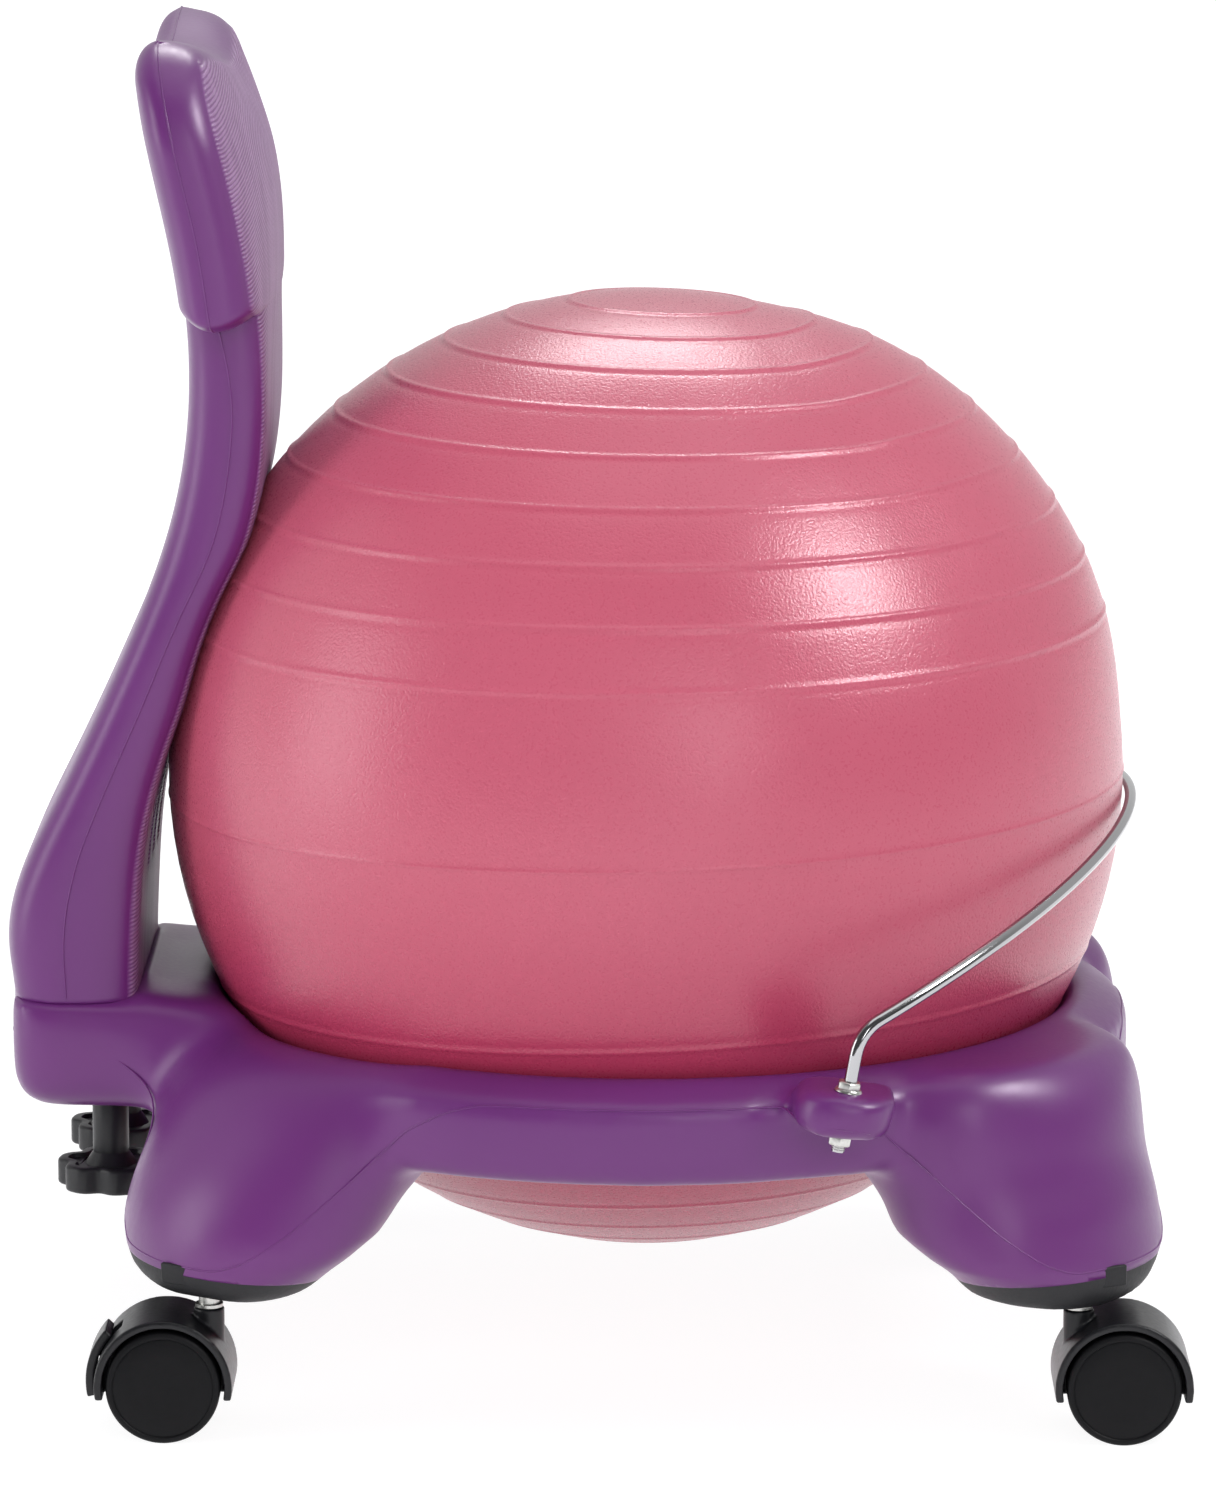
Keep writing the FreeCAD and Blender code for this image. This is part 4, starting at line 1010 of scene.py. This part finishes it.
front_line = list(zip(rises, fronts))
rear_line = list(zip(rises, rears))
shoulder = [SHOULDER_HEIGHT + SHOULDER_RISE * (step / 10) ** 2 for step in range(11)]
rings = []
for height in sorted(rises + shoulder):
    front_x, rear_x = read_off(front_line, height), read_off(rear_line, height)
    ridge = rear_x + (front_x - rear_x) * read_off(RIDGE_SHARE, height)
    rings.append(section(height, ridge, front_x - ridge, ridge - rear_x, half_at(height),
                         swell_at(height)))
ahead_top = fronts[-1] - ridge
behind_top = ridge - rears[-1]
lean_top = (fronts[-1] + rears[-1] - fronts[-9] - rears[-9]) / 2 / (8 * STATION)
for step in range(1, 21):
    climb = math.sin(math.radians(90 * step / 20))
    height = rises[-1] + (high.z - END_CLEAR - rises[-1]) * climb
    narrowing = math.sqrt(1 - climb ** 2)
    closing = (1 - climb ** 4.5) ** REAR_POWER
    rings.append(section(height, ridge + lean_top * TOP_ROUND * climb,
                         ahead_top * closing, behind_top * narrowing, half_at(height),
                         swell_at(height) * closing, ease((0.62 - climb) / 0.1)))
first_ridge = rears[0] + (fronts[0] - rears[0]) * RIDGE_SHARE[0][1]
foot, foot_woven = section(rises[0], first_ridge, fronts[0] - first_ridge - FOOT_DRAWN_IN,
                           first_ridge - rears[0] - FOOT_DRAWN_IN,
                           half_at(rises[0]) - FOOT_DRAWN_IN, 0)
for spot in foot:
    spot.z = low.z + END_CLEAR
rings.insert(0, (foot, foot_woven))

count = len(rings[0][0])
places, woven, faces = [], [], []
for ring, share in rings:
    for spot in ring:
        dip = (1 + math.cos(math.pi * min(1, abs(spot.y) / DIP_HALF))) / 2
        spot.z -= TOP_DIP * dip * ease((spot.z - high.z + DIP_FADE) / DIP_FADE)
        places.append(spot)
    woven += share
for level in range(len(rings) - 1):
    for index in range(count):
        after = (index + 1) % count
        base = level * count
        faces.append((base + index, base + after, base + count + after, base + count + index))
faces.append(tuple(reversed(range(count))))
skin = bpy.data.meshes.new("back_moulding")
skin.from_pydata(places, [], faces)
cover = skin.attributes.new("woven", "FLOAT", "POINT")
cover.data.foreach_set("value", woven)
back = linked("back_moulding", skin)
bpy.ops.object.mode_set(mode="EDIT")
bpy.ops.mesh.select_all(action="SELECT")
bpy.ops.mesh.remove_doubles(threshold=2 * MERGE_GAP)
bpy.ops.mesh.normals_make_consistent(inside=False)
bpy.ops.object.mode_set(mode="OBJECT")
bpy.ops.object.shade_smooth_by_angle(angle=math.radians(50))
back.data.materials.append(weave)
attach(back, "frame")
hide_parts("backrest")

near_line = [ring[0] for ring, share in rings[2:]]
far_line = [ring[2 * RING_STEPS] for ring, share in rings[2:]]
top_line = rings[-1][0][1:2 * RING_STEPS]
mould_line("back_mould_line", relax(near_line + top_line + far_line[::-1], 3, False), False,
           weave, "frame")

# Clamping knobs. Two black star knobs under the block, each moulded on a steel stud that
# goes up through a washer and the block into a nut held inside the backrest's foot.

KNOB_RADIUS = 0.0215
KNOB_LOBES = 6
NECK_RADIUS = 0.0072
HEAD_HEIGHT = 0.0105
NECK_START = 0.006
FLARE_RADIUS = 0.0105
FLARE_LOW = 0.0087
FLARE_HIGH = 0.0137
LOBE_DEPTH = 0.17
STAR_TURN = 18
HEAD_ROUND = 0.0014
UNDERSIDE_STEPS = [(0.0022, 0), (0.0006, -0.006), (0.006, 0), (0.0006, 0.004)]
TOP_STEPS = [(0.0026, 0), (0.0008, -0.0016)]

knob_plastic, nodes, links, shader = new_material("black_knob_plastic", (0.012, 0.012, 0.014), 0.42)
shader.inputs["Specular IOR Level"].default_value = 0.35
grain_skin(nodes, links, shader, 600, 3, (0.34, 0.5), 0.00012, 0.5)


def star_knob(name, top, foot):
    """A lobed head with a hollow underside, drawn in to a tall neck above it."""
    head = bar(name, 120, KNOB_RADIUS, 0, HEAD_HEIGHT)
    bpy.ops.object.mode_set(mode="EDIT")
    pick_faces(head, lambda face: abs(face.normal.z) > 0.9)
    bpy.ops.mesh.bevel(offset=HEAD_ROUND, segments=3, affect="EDGES")
    bpy.ops.object.mode_set(mode="OBJECT")
    for vertex in head.data.vertices:
        angle = math.atan2(vertex.co.y, vertex.co.x)
        lobe = (math.cos(angle * KNOB_LOBES) + 1) / 2
        reach = 1 - LOBE_DEPTH * lobe ** 2.2
        vertex.co.x *= reach
        vertex.co.y *= reach
    for way, steps in ((-1, UNDERSIDE_STEPS), (1, TOP_STEPS)):
        inset_in_turn(head, lambda face: face.normal.z * way > 0.99 and len(face.verts) > 20,
                      steps)
    neck = bar("neck", 64, NECK_RADIUS, NECK_START, top - foot)
    shape_with(neck, "BEVEL", width=0.0006, segments=2, limit_method="ANGLE")
    join_to(head, [neck, cone(64, FLARE_RADIUS, NECK_RADIUS, FLARE_LOW, FLARE_HIGH)])
    take_up(head)
    bpy.ops.object.shade_smooth_by_angle(angle=math.radians(35))
    head.data.materials.append(knob_plastic)
    return head


for side in ("near", "far"):
    low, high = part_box("knob_" + side)
    middle = (low + high) / 2
    star = star_knob("star_knob_" + side, high.z, low.z)
    star.data.transform(Matrix.Translation((middle.x, middle.y, low.z))
                        @ Matrix.Rotation(math.radians(STAR_TURN), 4, "Z"))
    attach(star, "knob_" + side)
    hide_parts("knob_" + side)
    for node in ("knob_stud_", "knob_washer_", "captive_nut_"):
        dress(node + side, zinc)

# Studio. A white floor that runs out of the picture, soft lamps above and at both sides,
# and a camera a little above the ball, level with the chair's side.

FLOOR_WHITE = (0.86, 0.86, 0.86)
FLOOR_SEEN = (0.22, 0.22, 0.22)
AIM = Vector((0, 0, 0.25))

floor_paint, nodes, links, shader = new_material("studio_floor", FLOOR_WHITE, 0.7)
shader.inputs["Specular IOR Level"].default_value = 0
rays = nodes.new("ShaderNodeLightPath")
paint = mixed(nodes, links, rays.outputs["Is Camera Ray"], FLOOR_WHITE, FLOOR_SEEN)
links.new(paint, shader.inputs["Base Color"])
seen = reckon(nodes, links, "MAXIMUM", rays.outputs["Is Camera Ray"],
              rays.outputs["Is Glossy Ray"])
seen = reckon(nodes, links, "MAXIMUM", seen, rays.outputs["Is Transmission Ray"])
place = nodes.new("ShaderNodeTexCoord")
spot = nodes.new("ShaderNodeVectorMath")
spot.operation = "LENGTH"
links.new(place.outputs["Object"], spot.inputs[0])
far = nodes.new("ShaderNodeMapRange")
far.inputs["From Min"].default_value = 0.35
far.inputs["From Max"].default_value = 1.4
far.inputs["To Min"].default_value = 0.92
far.inputs["To Max"].default_value = 1.05
links.new(spot.outputs["Value"], far.inputs["Value"])
faint = reckon(nodes, links, "MULTIPLY", seen, far.outputs["Result"])
glow = nodes.new("ShaderNodeEmission")
links.new(faint, glow.inputs["Strength"])
lit = nodes.new("ShaderNodeAddShader")
links.new(shader.outputs["BSDF"], lit.inputs[0])
links.new(glow.outputs["Emission"], lit.inputs[1])
links.new(lit.outputs["Shader"], nodes["Material Output"].inputs["Surface"])
bpy.ops.object.select_all(action="DESELECT")
bpy.ops.mesh.primitive_plane_add(size=40, location=(0, 0, 0))
floor = bpy.context.object
floor.name = "studio_floor"
floor.data.materials.append(floor_paint)

world = bpy.data.worlds.new("studio_room")
bpy.context.scene.world = world
world.use_nodes = True
nodes = world.node_tree.nodes
links = world.node_tree.links
room = nodes["Background"]
room.inputs["Color"].default_value = (0.93, 0.95, 1, 1)
room.inputs["Strength"].default_value = 0.42
place = nodes.new("ShaderNodeTexCoord")
split = nodes.new("ShaderNodeSeparateXYZ")
links.new(place.outputs["Generated"], split.inputs["Vector"])
backdrop = nodes.new("ShaderNodeMapRange")
backdrop.interpolation_type = "SMOOTHSTEP"
backdrop.inputs["From Min"].default_value = -0.5
backdrop.inputs["From Max"].default_value = 0.45
backdrop.inputs["To Min"].default_value = 0.15
backdrop.inputs["To Max"].default_value = 1
links.new(split.outputs["Y"], backdrop.inputs["Value"])
sheen = nodes.new("ShaderNodeBackground")
links.new(backdrop.outputs["Result"], sheen.inputs["Strength"])
white = nodes.new("ShaderNodeBackground")
white.inputs["Color"].default_value = (1, 1, 1, 1)
rays = nodes.new("ShaderNodeLightPath")
glossy = nodes.new("ShaderNodeMixShader")
links.new(rays.outputs["Is Glossy Ray"], glossy.inputs["Fac"])
links.new(room.outputs["Background"], glossy.inputs[1])
links.new(sheen.outputs["Background"], glossy.inputs[2])
mix = nodes.new("ShaderNodeMixShader")
links.new(rays.outputs["Is Camera Ray"], mix.inputs["Fac"])
links.new(glossy.outputs["Shader"], mix.inputs[1])
links.new(white.outputs["Background"], mix.inputs[2])
links.new(mix.outputs["Shader"], nodes["World Output"].inputs["Surface"])


def softbox(name, place, width, height, power, lights=True, shines=True):
    """A square lamp aimed at the chair, which may only light it or only shine in its gloss."""
    lamp = bpy.data.lights.new(name, "AREA")
    lamp.shape = "RECTANGLE"
    lamp.size = width
    lamp.size_y = height
    lamp.energy = power
    fixture = bpy.data.objects.new(name, lamp)
    fixture.location = place
    fixture.rotation_euler = (AIM - Vector(place)).to_track_quat("-Z", "Y").to_euler()
    fixture.visible_diffuse = lights
    fixture.visible_glossy = shines
    bpy.context.collection.objects.link(fixture)


softbox("softbox_right", (1.35, -0.30, 1.65), 0.5, 0.5, 8.5, shines=False)
softbox("gleam_right", (1.26, -0.58, 1.50), 0.42, 0.62, 26, lights=False)
softbox("gleam_behind", (0.0, 1.38, 2.12), 1.0, 0.35, 24, lights=False)
softbox("softbox_above", (0.1, -0.4, 2.6), 1.8, 1.4, 9.5)
softbox("softbox_left", (-2.2, -0.5, 0.7), 0.9, 1.3, 14)
softbox("softbox_front", (0.3, -3.0, 1.3), 1.6, 1.6, 30, shines=False)
softbox("gleam_front", (0.75, -2.2, 0.95), 0.25, 0.9, 5, lights=False)

CAMERA_LENS = 177.8
CAMERA_PLACE = (CENTRE_X + 0.0103, -2.8999, 0.807)
CAMERA_DIP = 11.1
CAMERA_TURN = 0.5

camera = bpy.data.objects.new("camera", bpy.data.cameras.new("camera"))
camera.data.sensor_fit = "VERTICAL"
camera.data.sensor_height = 36
camera.data.lens = CAMERA_LENS
camera.data.clip_end = 60
camera.location = CAMERA_PLACE
camera.rotation_euler = (math.radians(90 - CAMERA_DIP), 0, math.radians(CAMERA_TURN))
bpy.context.collection.objects.link(camera)
bpy.context.scene.camera = camera
bpy.context.scene.view_settings.view_transform = "Standard"
